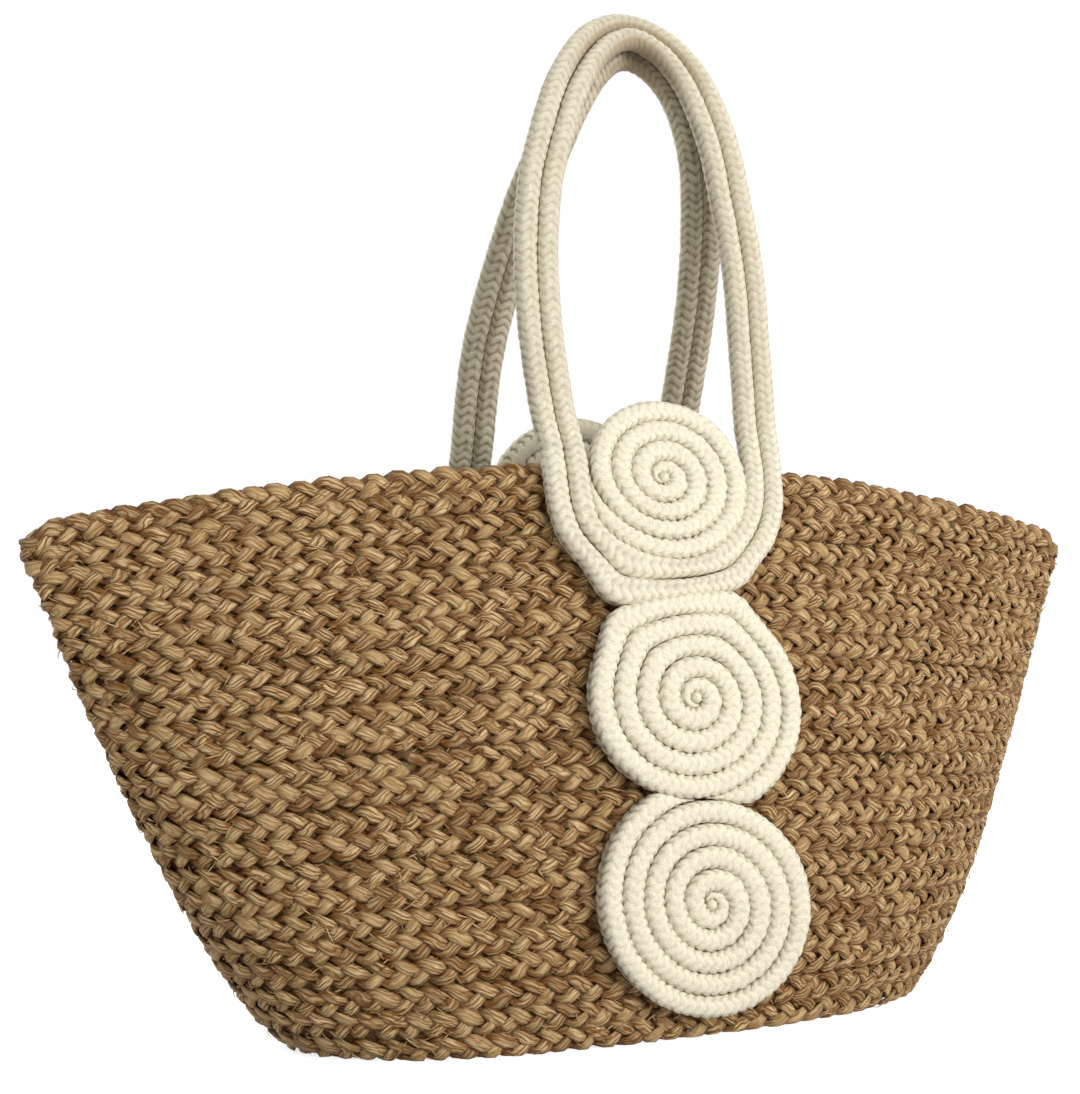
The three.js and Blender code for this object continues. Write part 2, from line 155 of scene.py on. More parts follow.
def makeStraw(values):
    # dried straw, flattened and plaited by hand: dull, with a soft shine along the fibres
    material, tree = newMaterial("Plaited dried straw")
    lie = addNode(tree, "Attribute", {"attribute_name": "strawLie"})
    shade = addNode(tree, "Attribute", {"attribute_name": "strawShade"})
    tone = addNode(tree, "SeparateXYZ", links={"Vector": shade.outputs["Vector"]})
    scaled = addNode(tree, "VectorMath", {"operation": "MULTIPLY"},
                     {1: (1 / values["fibreLength"], 1 / values["fibreWidth"], 1)},
                     {0: lie.outputs["Vector"]})
    fine = addNode(tree, "TexNoise", {}, fibreNoise,
                   {"Vector": scaled})
    broad = addNode(tree, "VectorMath", {"operation": "MULTIPLY"},
                    {1: (1 / values["fibreLength"], 1 / values["bendWidth"], values["bendMark"])},
                    {0: lie.outputs["Vector"]})
    bend = addNode(tree, "TexNoise", {}, {"Scale": 1, "Detail": 1}, {"Vector": broad})
    across = addNode(tree, "SeparateXYZ", links={"Vector": lie.outputs["Vector"]})
    angle = addNode(tree, "Math", {"operation": "MULTIPLY"}, {1: math.pi / values["bladeWidth"]},
                    {0: across.outputs["Y"]})
    bent = addNode(tree, "Math", {"operation": "MULTIPLY_ADD"}, {1: values["bladeBend"]},
                   {0: bend, 2: angle})
    wave = addNode(tree, "Math", {"operation": "SINE"}, links={0: bent})
    fold = addNode(tree, "Math", {"operation": "ABSOLUTE"}, links={0: wave})
    blade = addNode(tree, "Math", {"operation": "POWER"}, {1: values["bladeSharpness"]},
                    {0: fold})
    fibre = addNode(tree, "Mix", {"data_type": "FLOAT"}, {0: values["bladeShare"]},
                    {2: fine, 3: blade})
    tint = addNode(tree, "ValToRGB", {"ramp": values["fibre"]}, links={"Fac": fibre})
    for overlay, start, full in values["tones"]:
        share = addNode(tree, "MapRange", {},
                        {"From Min": start, "From Max": full, "To Max": values["toneShare"]},
                        {"Value": tone.outputs["X"]})
        tint = addNode(tree, "Mix", {"data_type": "RGBA"}, {7: linear(overlay)}, {0: share, 6: tint})
    # painted shade: the second value of strawShade darkens the straw where it lies under others and at its
    # edges
    deep = addNode(tree, "Mix", {"data_type": "RGBA"}, {7: linear(values["underside"])},
                   {0: tone.outputs["Y"], 6: tint})
    finishMaterial(tree, values, deep, fibre)
    return material


ropeFinish = {
    "yarn": [(0.25, "#dad0b2"), (0.62, "#f3ecd6")],
    # painted shade in the braid's grooves, and towards its sides where turns and cords meet
    "groove": "#9b8f72",
    "seam": "#726749",
    "handleShadeAndTint": "#a08e70",  # painted shade under the handle's top, and a lighter darkening over the rest of the handle
    "surface": {"Roughness": 0.9, "IOR": fibreIor, "Specular IOR Level": 0.2,
                "Sheen Weight": 0.15, "Sheen Roughness": 0.6},
    "yarnWidth": 0.7,  # mm
    "yarnLength": 1.75,  # mm, of the fuzz along it
    "reliefStrength": 0.7,
    "reliefDepth": 0.45,  # mm
}


def makeRope(values):
    # undyed cotton yarn, braided into rope: matt and a little fuzzy, with grey-olive painted shade in its
    # grooves and where turns meet, and on the handle painted shade under its top
    material, tree = newMaterial("Braided cotton rope")
    lie = addNode(tree, "Attribute", {"attribute_name": "ropeLie"})
    shade = addNode(tree, "Attribute", {"attribute_name": "ropeShade"})
    depth = addNode(tree, "SeparateXYZ", links={"Vector": shade.outputs["Vector"]})
    scaled = addNode(tree, "VectorMath", {"operation": "MULTIPLY"},
                     {1: (1 / values["yarnWidth"], 1 / values["yarnLength"], 1)},
                     {0: lie.outputs["Vector"]})
    yarn = addNode(tree, "TexNoise", {}, fibreNoise,
                   {"Vector": scaled})
    tint = addNode(tree, "ValToRGB", {"ramp": values["yarn"]}, links={"Fac": yarn})
    # painted shade in the grooves and towards the seams, then the handle's painted shade and tint
    for overlay, place in (("groove", "X"), ("seam", "Y"), ("handleShadeAndTint", "Z")):
        tint = addNode(tree, "Mix", {"data_type": "RGBA"}, {7: linear(values[overlay])},
                       {0: depth.outputs[place], 6: tint})
    finishMaterial(tree, values, tint, yarn)
    return material


liningFinish = {
    "thread": "#ddd3ba",
    # painted shade between the threads
    "gap": "#b3a686",
    "slub": "#cbbf9f",
    "surface": {"Roughness": 0.92, "IOR": fibreIor, "Specular IOR Level": 0.2},
    "threadPitch": 1.1,  # mm, twice the real one, so that it shows
    "reliefStrength": 0.6,
    "reliefDepth": 0.18,  # mm
    "slubScale": 160,  # per metre
    "slubRange": (0.5, 0.75),
    "slubShare": 0.7,
}


def makeLining(values):
    # unbleached cotton cloth in a plain weave: matt, with slubs in its threads
    material, tree = newMaterial("Plain woven cotton")
    place = addNode(tree, "TexCoord")
    split = addNode(tree, "SeparateXYZ", links={"Vector": place.outputs["Object"]})
    rise = addNode(tree, "Math", {"operation": "ADD"},
                   links={0: split.outputs["Y"], 1: split.outputs["Z"]})
    pull = 2 * math.pi / (values["threadPitch"] * millimetre)
    waves = []
    for source in (split.outputs["X"], rise):
        angle = addNode(tree, "Math", {"operation": "MULTIPLY"}, {1: pull}, {0: source})
        waves.append(addNode(tree, "Math", {"operation": "SINE"}, links={0: angle}))
    over = addNode(tree, "Math", {"operation": "MULTIPLY"},
                   links=dict(enumerate(waves)))
    weave = addNode(tree, "MapRange", {}, {"From Min": -1, "From Max": 1},
                    {"Value": over})
    slubs = addNode(tree, "TexNoise", {}, {"Scale": values["slubScale"], "Detail": 3},
                    {"Vector": place.outputs["Object"]})
    # painted shade where the weave dips between threads
    cloth = addNode(tree, "Mix", {"data_type": "RGBA"},
                    {6: linear(values["gap"]), 7: linear(values["thread"])}, {0: weave})
    least, most = values["slubRange"]
    uneven = addNode(tree, "MapRange", {},
                     {"From Min": least, "From Max": most, "To Max": values["slubShare"]},
                     {"Value": slubs})
    slubbed = addNode(tree, "Mix", {"data_type": "RGBA"}, {7: linear(values["slub"])},
                      {0: uneven, 6: cloth})
    finishMaterial(tree, values, slubbed, weave)
    return material


threadFinish = {
    "light": "#efe6cf",
    "dark": "#c9bd9d",
    "surface": {"Roughness": 0.75, "IOR": fibreIor, "Specular IOR Level": 0.3},
    "plyScale": 900,  # per metre
}


def makeThread(values):
    # two-ply cotton sewing thread: smoother than the cloth that it holds
    material, tree = newMaterial("Cotton sewing thread")
    place = addNode(tree, "TexCoord")
    ply = addNode(tree, "TexNoise", {}, {"Scale": values["plyScale"], "Detail": 2},
                  {"Vector": place.outputs["Object"]})
    colour = addNode(tree, "Mix", {"data_type": "RGBA"},
                     {6: linear(values["dark"]), 7: linear(values["light"])}, {0: ply})
    finishMaterial(tree, values, colour)
    return material


straw = makeStraw(strawFinish)
rope = makeRope(ropeFinish)
liningCotton = makeLining(liningFinish)
thread = makeThread(threadFinish)
print("materials made")


def addPiece(name, points, faces, materials, attributes=None, faceMaterial=None):
    mesh = bpy.data.meshes.new(name)
    corners = [list(f)[:-1] if f[-1] == f[-2] else list(f) for f in faces]
    mesh.from_pydata((np.asarray(points) * millimetre).tolist(), [], corners)
    mesh.polygons.foreach_set("use_smooth", [True] * len(mesh.polygons))
    for material in materials:
        mesh.materials.append(material)
    if faceMaterial is not None:
        mesh.polygons.foreach_set("material_index", np.asarray(faceMaterial, np.int32))
    for label, values in (attributes or {}).items():
        layer = mesh.attributes.new(label, "FLOAT_VECTOR", "POINT")
        layer.data.foreach_set("vector", np.asarray(values, np.float32).ravel())
    mesh.update()
    piece = bpy.data.objects.new(name, mesh)
    scene.collection.objects.link(piece)
    return piece


def tubeFaces(rings, sides, closedRun):
    ring = np.arange(rings if closedRun else rings - 1)[:, None]
    side = np.arange(sides)[None, :]
    after = (ring + 1) % rings
    beside = (side + 1) % sides
    quads = np.stack([ring * sides + side, ring * sides + beside,
                      after * sides + beside, after * sides + side], -1)
    return quads.reshape(-1, 4)


def unit(vectors):
    return vectors / np.maximum(np.linalg.norm(vectors, axis=-1, keepdims=True), 1e-9)


def mix(start, end, share):
    return start + (end - start) * share


def smooth(share):
    share = np.clip(share, 0, 1)
    return share * share * (3 - 2 * share)


def softNoise(random, places, knots):
    # a smooth random wave that closes on itself
    values = random.uniform(-1, 1, knots)
    at = (places % 1) * knots
    low = np.floor(at).astype(int) % knots
    part = smooth(at - np.floor(at))
    return mix(values[low], values[(low + 1) % knots], part)


def runOf(line):
    # length along a line up to each of its points
    return np.concatenate([[0], np.cumsum(np.linalg.norm(np.diff(line, axis=0), axis=1))])


def readAt(at, run, values):
    # what a line's points hold, at lengths along it
    return np.stack([np.interp(at, run, values[:, i]) for i in range(values.shape[1])], -1)


def ringed(values):
    return np.concatenate([values, values[:1]])


def signedPower(value, power):
    return np.sign(value) * np.abs(value) ** power


def fan(tip, first, sides, flipped):
    # triangles from a ring of points to one point, each with its last corner twice
    k = np.arange(sides)
    pair = [first + k, first + (k + 1) % sides]
    if flipped:
        pair.reverse()
    return np.stack([np.full(sides, tip), *pair, pair[1]], -1)


def copied(pattern, corners, count):
    # the faces of many copies of one small shape
    return (np.arange(count)[:, None, None] * corners + np.array(pattern)).reshape(-1, 4)


def joined(parts):
    # the arrays of each part end to end; the last are faces, which count on from the parts before
    first, faces = 0, []
    for part in parts:
        faces.append(part[-1] + first)
        first += len(part[0])
    return [np.concatenate(arrays) for arrays in list(zip(*parts))[:-1]] + [np.concatenate(faces)]


bag = {
    "mouthHalfLength": 265,
    "mouthHalfDepth": 38,
    "baseHalfLength": 154,
    "baseHalfDepth": 67,
    "height": 245,
    "rimEndDrop": 29,  # mm, from the middle of the rim to its ends
    "tipFall": 6,  # mm that the last of the rim drops to each point
    "tipRun": 14,
    "endSwell": 12.5,  # mm over a straight wall, at half height
    "faceSwell": 19.5,
    "hipSwell": 6,  # mm more near the base
    "hipShare": 0.2,
    "baseRoundness": (2.85, 2),
    "mouthRoundness": (1.3, 1.6),
    "mouthEndInset": 2.6,  # of the depth below the skin, at the mouth's pointed ends
    "tipDepth": 10,  # mm from the middle plane, where a tip starts to close
    "wallThickness": 5,
}


def halfLength(share):
    hip = bag["hipSwell"] * (share / bag["hipShare"]) * np.exp(1 - share / bag["hipShare"])
    rest = (1 - share) / (1 - bag["hipShare"])
    swell = bag["endSwell"] * 4 * share * (1 - share)
    return mix(bag["baseHalfLength"], bag["mouthHalfLength"], share) + swell + hip * rest


def halfDepth(share):
    swell = bag["faceSwell"] * 4 * share * (1 - share)
    return mix(bag["baseHalfDepth"], bag["mouthHalfDepth"], share) + swell


def roundness(share):
    return [mix(low, high, share) for low, high in zip(bag["baseRoundness"], bag["mouthRoundness"])]


def rimHeight(x):
    fall = bag["tipFall"] * smooth((np.abs(x) - bag["mouthHalfLength"]) / bag["tipRun"] + 1)
    return bag["height"] - bag["rimEndDrop"] * (x / bag["mouthHalfLength"]) ** 2 - fall


def wallPoint(share, turn, inset, endInset=bag["mouthEndInset"]):
    along, across = roundness(share)
    reach = signedPower(np.cos(turn), 2 / along)
    outerX = halfLength(share) * reach
    outerY = halfDepth(share) * signedPower(np.sin(turn), 2 / across)
    x = outerX - inset * mix(1, endInset, share) * reach
    y = outerY - np.sign(outerY) * inset * np.minimum(1, np.abs(outerY) / bag["tipDepth"])
    return np.stack([x, y, share * rimHeight(outerX)], -1)


fineSteps = 3000


def evenRing(ringOf, steps):
    # a closed line round the bag, in even steps, and its length
    turns = np.linspace(0, 2 * math.pi, fineSteps + 1)
    run = runOf(ringOf(turns))
    even = np.interp(np.linspace(0, run[-1], steps + 1)[:-1], run, turns)
    return ringOf(even), run[-1]


class Surface:
    # rings of equal steps, looked up by level and by share of the way round
    def __init__(self, levels, ringOf, steps, flatNormal=None):
        rings, lengths = zip(*(evenRing(lambda turns, at=level: ringOf(at, turns), steps)
                               for level in levels))
        self.levels, self.steps = np.asarray(levels), steps
        self.points, self.lengths = np.array(rings), np.array(lengths)
        if flatNormal is None:
            along = np.roll(self.points, -1, 1) - np.roll(self.points, 1, 1)
            rising = np.gradient(self.points, axis=0)
            self.normals = unit(np.cross(along, rising))
        else:
            self.normals = np.broadcast_to(np.array(flatNormal, float), self.points.shape)

    def at(self, level, share):
        row = np.interp(level, self.levels, np.arange(len(self.levels)))
        low = np.clip(np.floor(row).astype(int), 0, len(self.levels) - 2)
        column = (share % 1) * self.steps
        left = np.floor(column).astype(int) % self.steps
        right = (left + 1) % self.steps
        up, across = (row - low)[..., None], (column - np.floor(column))[..., None]
        found = []
        for grid in (self.points, self.normals):
            lower = mix(grid[low, left], grid[low, right], across)
            upper = mix(grid[low + 1, left], grid[low + 1, right], across)
            found.append(mix(lower, upper, up))
        return found[0], unit(found[1])

    def length(self, level):
        return np.interp(level, self.levels, self.lengths)


plait = {
    "rows": 23,
    "period": 30.3,  # mm along the row for one strand to cross over and back
    "sway": 0.385,  # of the row's pitch
    "flatTurns": 0.11,  # of the sway, that squares its turns
    "overlap": 1.15,  # mm that a strand rises and dives
    "topAngle": 140,  # degrees of the period, where a strand lies on top
    "strandHalfWidth": 2.95,
    "strandHalfThickness": 1.25,
    "hidden": (0.58, 0.72),  # of its width and thickness that a strand has where another covers it
    "shown": (0.46, 0.3),  # and that it gains on top
    "crease": (0.7, 1.12),  # of its thickness that each edge of a lobe may have
    "rowWander": 0.075,  # of the pitch
    # how far each lobe may be off: mm along, share of the pitch, mm in depth, degrees, share of its width
    "loose": (1.1, 0.07, 0.4, 20, 0.2),
    "dimming": (1.15, 0.22, 0.85),  # painted shade where a strand runs below another: growth with depth, start and most
    # painted shade at a strand's edges
    "dimSides": 0.35,
    "wallDepth": 2.5,  # mm from the outside to the plait's middle
    "endInset": 1.25,  # of the depth, at the pointed ends
    "marks": (7.3, 31.7, 97),  # per lobe, strand and row, so that no two lobes look alike
    "stepsPerPeriod": 12,
    "sectionDegrees": (-145, -78, -27, 27, 78, 145),
}


def plaitRow(surface, middle, pitch, phase, random):
    # a flat plait of three strands round one row, as three closed strands
    length = surface.length(middle)
    periods = max(3, int(round(length / plait["period"])))
    steps = plait["stepsPerPeriod"] * periods
    lobes = 2 * periods
    count = np.arange(steps)
    angles = np.radians(plait["sectionDegrees"])
    waver = softNoise(random, count / steps, max(5, periods // 3)) * plait["rowWander"]
    (narrow, thin), (wider, thicker) = plait["hidden"], plait["shown"]
    growth, start, most = plait["dimming"]
    lobeMark, strandMark, rowMark = plait["marks"]
    strands = []
    for strand in range(3):
        theta = 2 * math.pi * (count / plait["stepsPerPeriod"] + strand / 3)
        lobe = np.floor((theta - math.pi / 3) / math.pi).astype(int) % lobes
        half = (theta / math.pi) % lobes
        ahead, aside, deep, tilt, broad = (
            np.interp(half, np.arange(lobes + 1), np.append(knots, knots[0])) * reach
            for knots, reach in zip(random.uniform(-1, 1, (5, lobes)), plait["loose"]))
        seen = np.cos(theta - math.radians(plait["topAngle"])) ** 2  # 1 where the strand lies on top
        share = (count / steps + ahead / length + phase) % 1
        zigzag = (np.sin(theta) - plait["flatTurns"] * np.sin(3 * theta)) / (1 + plait["flatTurns"])
        across = plait["sway"] * zigzag + waver + aside
        centre, normal = surface.at(middle + across * pitch, share)
        centre = centre + normal * (deep - plait["overlap"] * np.sin(2 * theta))[:, None]
        heading = unit(np.roll(centre, -1, 0) - np.roll(centre, 1, 0))
        side = unit(np.cross(heading, normal))
        out = np.cross(side, heading)
        tilt = np.radians(tilt)[:, None]
        side, out = side * np.cos(tilt) + out * np.sin(tilt), out * np.cos(tilt) - side * np.sin(tilt)
        halfWidth = plait["strandHalfWidth"] * (narrow + wider * seen) * (1 + broad)
        halfThickness = plait["strandHalfThickness"] * (thin + thicker * seen)
        crease = random.uniform(*plait["crease"], (lobes, len(angles)))[lobe]
        wide = halfWidth[:, None] * np.sin(angles)
        high = halfThickness[:, None] * np.cos(angles) * crease
        section = centre[:, None] + side[:, None] * wide[..., None] + out[:, None] * high[..., None]
        run = np.cumsum(np.linalg.norm(np.diff(centre, axis=0, prepend=centre[-1:]), axis=1))
        tone = random.uniform(0, 1, lobes)[lobe]
        mark = lobe[:, None] * lobeMark + strand * strandMark + phase * rowMark
        lie = np.stack(np.broadcast_arrays(run[:, None], wide, mark), -1)
        # painted shade where the strand runs under the others, and at its edges
        under = np.clip((1 - seen) * growth - start, 0, most)
        paintedShade = np.minimum(under[:, None] + np.abs(np.sin(angles)) ** 6 * plait["dimSides"], 1)
        shade = np.stack(np.broadcast_arrays(tone[:, None], paintedShade, 0), -1)
        strands.append([section.reshape(-1, 3), lie.reshape(-1, 3), shade.reshape(-1, 3),
                        tubeFaces(steps, len(angles), True)])
    return strands


def woven(rows, surface, random):
    return joined([strand for middle, pitch in rows
                   for strand in plaitRow(surface, middle, pitch, random.uniform(0, 1), random)])


# a tone, and painted shade that darkens the packed straw
backingShade = (0.2, 0.5, 0)


def backing(ringsOutside, ringsInside):
    # a layer of packed straw behind the plait, so that no light comes through its gaps, made dark with
    # painted shade
    rings = np.array(ringsOutside + ringsInside[::-1])
    points = rings.reshape(-1, 3)
    lies = np.stack([points[:, 0], points[:, 2] * 2, points[:, 1]], -1)
    return points, lies, np.tile(backingShade, (len(points), 1)), tubeFaces(*rings.shape[:2], True)


# split ends of straw that lie across the plait and stick out of it
looseEnds = {
    "count": 1900,
    "level": (0.008, 0.985),
    "length": (4.5, 11.0),
    "halfWidth": (0.2, 0.42),
    "flatness": 0.7,
    "taper": (0.8, 1, 0.7),
    "lift": (1.6, 2.9),  # mm above the plait's middle
    "slope": (33, 16),  # degrees either way from the row, and their spread
    "stops": (-1, -0.55, 0, 0.55, 1),  # of its half length
    "bow": 0.5,  # mm
    "dive": -1.5,  # mm at its ends
    "free": 0.3,  # share of them with one end standing off
    "freeRise": -0.75,  # of the dive
    "pale": 0.7,  # share of them that are pale
    "tones": ((0.65, 1), (0, 0.3)),
}
# short straws that cross each other where two rows meet
packedEnds = {
    "count": 2300,
    "spread": 0.1,  # of the pitch
    "length": (5, 9),
    "halfWidth": (0.35, 0.75),
    "thickness": 0.45,
    "lift": (-0.2, 1.5),
    "slope": (38, 12),
    "dive": 1.1,
    "tones": (0, 0.9),
    # painted shade, as they lie low between the rows
    "paintedShade": 0.25,
}
markRange = (0, 90)  # so that no two straws look alike


def sloping(random, along, normal, slope):
    count = len(along)
    angle = np.radians(random.normal(*slope, count) * random.choice([-1, 1], count))[:, None]
    heading = along * np.cos(angle) + np.cross(normal, along) * np.sin(angle)
    return heading, np.cross(heading, normal)


def strawBits(points, pattern, run, across, marks, tone, paintedShade):
    count, corners = run.shape
    lie = np.stack(np.broadcast_arrays(run, across, marks[:, None]), -1)
    shade = np.stack(np.broadcast_arrays(tone[:, None], paintedShade, np.zeros((1, corners))), -1)
    arrays = [values.reshape(-1, 3) for values in (points, lie, shade)]
    return (*arrays, copied(pattern, corners, count))


def looseStraws(surface, random):
    count = looseEnds["count"]
    level, share = random.uniform(*looseEnds["level"], count), random.uniform(0, 1, count)
    centre, normal = surface.at(level, share)
    along = unit(surface.at(level, share + 0.002)[0] - centre)
    heading, side = sloping(random, along, normal, looseEnds["slope"])
    half = random.uniform(*looseEnds["length"], count) / 2
    lift = random.uniform(*looseEnds["lift"], count)
    girth = random.uniform(*looseEnds["halfWidth"], count)
    free = random.uniform(0, 1, count) < looseEnds["free"]
    bow = random.uniform(-looseEnds["bow"], looseEnds["bow"], count)
    stops = np.array(looseEnds["stops"])
    rise = np.where(free[:, None] & (stops > 0)[None, :], looseEnds["freeRise"], 1)
    dive = looseEnds["dive"] * stops[None, :] ** 2 * rise
    line = (centre[:, None] + heading[:, None] * (half[:, None] * stops)[..., None]
            + normal[:, None] * (lift[:, None] + dive)[..., None]
            + side[:, None] * (bow[:, None] * (1 - stops ** 2))[..., None])
    rings = []
    for turn in (0, 120, 240):
        angle = math.radians(turn)
        push = normal * math.cos(angle) * looseEnds["flatness"] + side * math.sin(angle)
        rings.append(line[:, 1:4] + push[:, None] * (girth[:, None] * looseEnds["taper"])[..., None])
    body = np.stack(rings, 2).reshape(count, 9, 3)
    points = np.concatenate([line[:, :1], body, line[:, 4:]], 1)
    pattern = [[0, 2, 1, 1], [0, 3, 2, 2], [0, 1, 3, 3], [10, 7, 8, 8], [10, 8, 9, 9], [10, 9, 7, 7]]
    for ring in (1, 4):
        for k in range(3):
            after = (k + 1) % 3
            pattern.append([ring + k, ring + after, ring + 3 + after, ring + 3 + k])
    run = half[:, None] * np.repeat(stops, (1, 3, 3, 3, 1))
    marks = random.uniform(*markRange, count)
    pale, dark = looseEnds["tones"]
    tone = np.where(random.uniform(0, 1, count) < looseEnds["pale"],
                    random.uniform(*pale, count), random.uniform(*dark, count))
    return strawBits(points, pattern, run, 0.7, marks, tone, 0.0)


def packedStraws(surface, random):
    count = packedEnds["count"]
    seams = random.integers(1, plait["rows"], count)
    level = (seams + random.normal(0, packedEnds["spread"], count)) / plait["rows"]
    centre, normal = surface.at(level, random.uniform(0, 1, count))
    along = unit(np.cross(np.array([0, 0, 1]), normal))
    heading, side = sloping(random, along, normal, packedEnds["slope"])
    half = random.uniform(*packedEnds["length"], count)[:, None] / 2
    girth = random.uniform(*packedEnds["halfWidth"], count)[:, None]
    middle = centre + normal * random.uniform(*packedEnds["lift"], count)[:, None]
    ends = [middle + heading * half * way - normal * packedEnds["dive"] for way in (-1, 1)]
    belt = [middle + side * girth, middle + normal * packedEnds["thickness"], middle - side * girth]
    points = np.stack([ends[0], *belt, ends[1]], 1)
    pattern = [[0, 1, 2, 2], [0, 2, 3, 3], [0, 3, 1, 1], [4, 2, 1, 1], [4, 3, 2, 2], [4, 1, 3, 3]]
    run = half * np.array([-1, 0, 0, 0, 1])
    marks = random.uniform(*markRange, count)
    tone = random.uniform(*packedEnds["tones"], count)
    return strawBits(points, pattern, run, [0, 0.6, 0, -0.6, 0], marks, tone, packedEnds["paintedShade"])


standClear = 0.1  # mm above the ground


def addStraw(name, parts):
    points, lies, shades, faces = joined(parts)
    points[:, 2] = np.maximum(points[:, 2], standClear)
    print(name, len(faces), "faces")
    return addPiece(name, points, faces, [straw], {"strawLie": lies, "strawShade": shades})


wall = {
    "seed": 1207,
    "levels": (-0.01, 1.02),
    "levelsPerRow": 6,
    "steps": 1200,
    "backingSteps": 240,
    "backingRings": 16,
    "backingLow": 0.012,
    "backingTop": (1.1, 0.75, 0.2),  # rows below the rim, of its last rings
    "rimFrom": 1.2,  # rows below the rim, from where the backing comes nearer
    "rimOver": 0.7,
    "backingInsets": ((3.3, 2.2), (4.8, 2.9)),  # of its outside and inside, below and at the rim
    "backingEndInset": 1.4,
}


def makeStrawWall():
    random = np.random.default_rng(wall["seed"])
    pitch = 1 / plait["rows"]
    levels = np.linspace(*wall["levels"], wall["levelsPerRow"] * plait["rows"] + 1)
    surface = Surface(levels, lambda share, turns: wallPoint(share, turns, plait["wallDepth"],
                                                             plait["endInset"]), wall["steps"])
    rows = [((row + 0.5) * pitch, pitch) for row in range(plait["rows"])]
    plaited = woven(rows, surface, random)
    turns = np.linspace(0, 2 * math.pi, wall["backingSteps"] + 1)[:-1]
    below, *last = wall["backingTop"]
    heights = np.append(np.linspace(wall["backingLow"], 1 - below * pitch, wall["backingRings"]),
                        1 - np.array(last) * pitch)
    nearer = smooth((heights - 1 + wall["rimFrom"] * pitch) / (wall["rimOver"] * pitch))
    outside, inside = ([wallPoint(share, turns, mix(low, high, near),
                                  mix(bag["mouthEndInset"], wall["backingEndInset"], near))
                        for share, near in zip(heights, nearer)] for low, high in wall["backingInsets"])
    piece = addStraw("strawWall", [plaited, backing(outside, inside), looseStraws(surface, random),
                                   packedStraws(surface, random)])
    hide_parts("straw_wall")
    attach(piece, "bag")


base = {
    "seed": 311,
    "pitch": 10.6,
    "rows": 6,
    "lastRowOutset": 1.2,  # mm that the last row makes room for the straight middle
    "insets": (3, 68),
    "levels": 53,
    "steps": 800,
    "backingSteps": 120,
    "backingRings": 8,
    "backingInset": 0.6,
    "backingHeights": (1.5, 2.3),  # mm above the plait's middle
    "leastHalf": (1, 0.4),
}


def makeStrawBase():
    # an oval coil of the same plait inside the foot of the wall
    random = np.random.default_rng(base["seed"])
    least = base["leastHalf"]

    def ringOf(inset, turns):
        along, across = bag["baseRoundness"]
        x = max(bag["baseHalfLength"] - inset, least[0]) * signedPower(np.cos(turns), 2 / along)
        y = max(bag["baseHalfDepth"] - inset, least[1]) * signedPower(np.sin(turns), 2 / across)
        return np.stack([x, y, np.full_like(x, plait["wallDepth"])], -1)

    surface = Surface(np.linspace(*base["insets"], base["levels"]), ringOf, base["steps"], (0, 0, -1))
    first = bag["wallThickness"] + base["pitch"] / 2
    rows = [(first + row * base["pitch"], base["pitch"]) for row in range(base["rows"])]
    rows[-1] = (rows[-1][0] - base["lastRowOutset"], base["pitch"])
    turns = np.linspace(0, 2 * math.pi, base["backingSteps"] + 1)[:-1]
    insets = np.linspace(bag["wallThickness"], bag["baseHalfDepth"] - base["backingInset"],
                         base["backingRings"])
    low, high = ([ringOf(inset, turns) + [0, 0, up] for inset in insets] for up in base["backingHeights"])
    piece = addStraw("strawBase", [woven(rows, surface, random), backing(high, low)])
    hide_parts("straw_base")
    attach(piece, "bag")


makeStrawWall()
makeStrawBase()


# the front face as a sheet that the rope lies on: millimetres aside and up from the rim
def depthAt(x, z):
    share = np.minimum(z / rimHeight(x), 1)
    along, across = roundness(share)
    reach = np.minimum(np.abs(x) / halfLength(share), 1)
    return halfDepth(share) * (1 - reach ** along) ** (1 / across)


faceSteps = 240
faceZ = np.linspace(bag["height"], 0, faceSteps + 1)
faceY = -depthAt(np.zeros_like(faceZ), faceZ)
faceUp = -runOf(np.stack([faceY, faceZ], -1))
rimRise = unit(np.array([faceY[0] - faceY[1], faceZ[0] - faceZ[1]]))


def faceSurface(aside, up):
    over = np.maximum(up, 0)
    y = np.interp(up, faceUp[::-1], faceY[::-1]) + over * rimRise[0]
    z = np.interp(up, faceUp[::-1], faceZ[::-1]) + over * rimRise[1]
    level = np.minimum(z, rimHeight(aside))
    return np.stack([aside, y + depthAt(np.zeros_like(aside), level) - depthAt(aside, level), z], -1)


def faceStop(aside, up, lift):
    aside, up, lift = np.broadcast_arrays(aside, up, lift)
    along = faceSurface(aside + 1.0, up) - faceSurface(aside - 1.0, up)
    rising = faceSurface(aside, up + 1.0) - faceSurface(aside, up - 1.0)
    out = unit(np.cross(along, rising))
    return faceSurface(aside, up) + out * lift[..., None], out


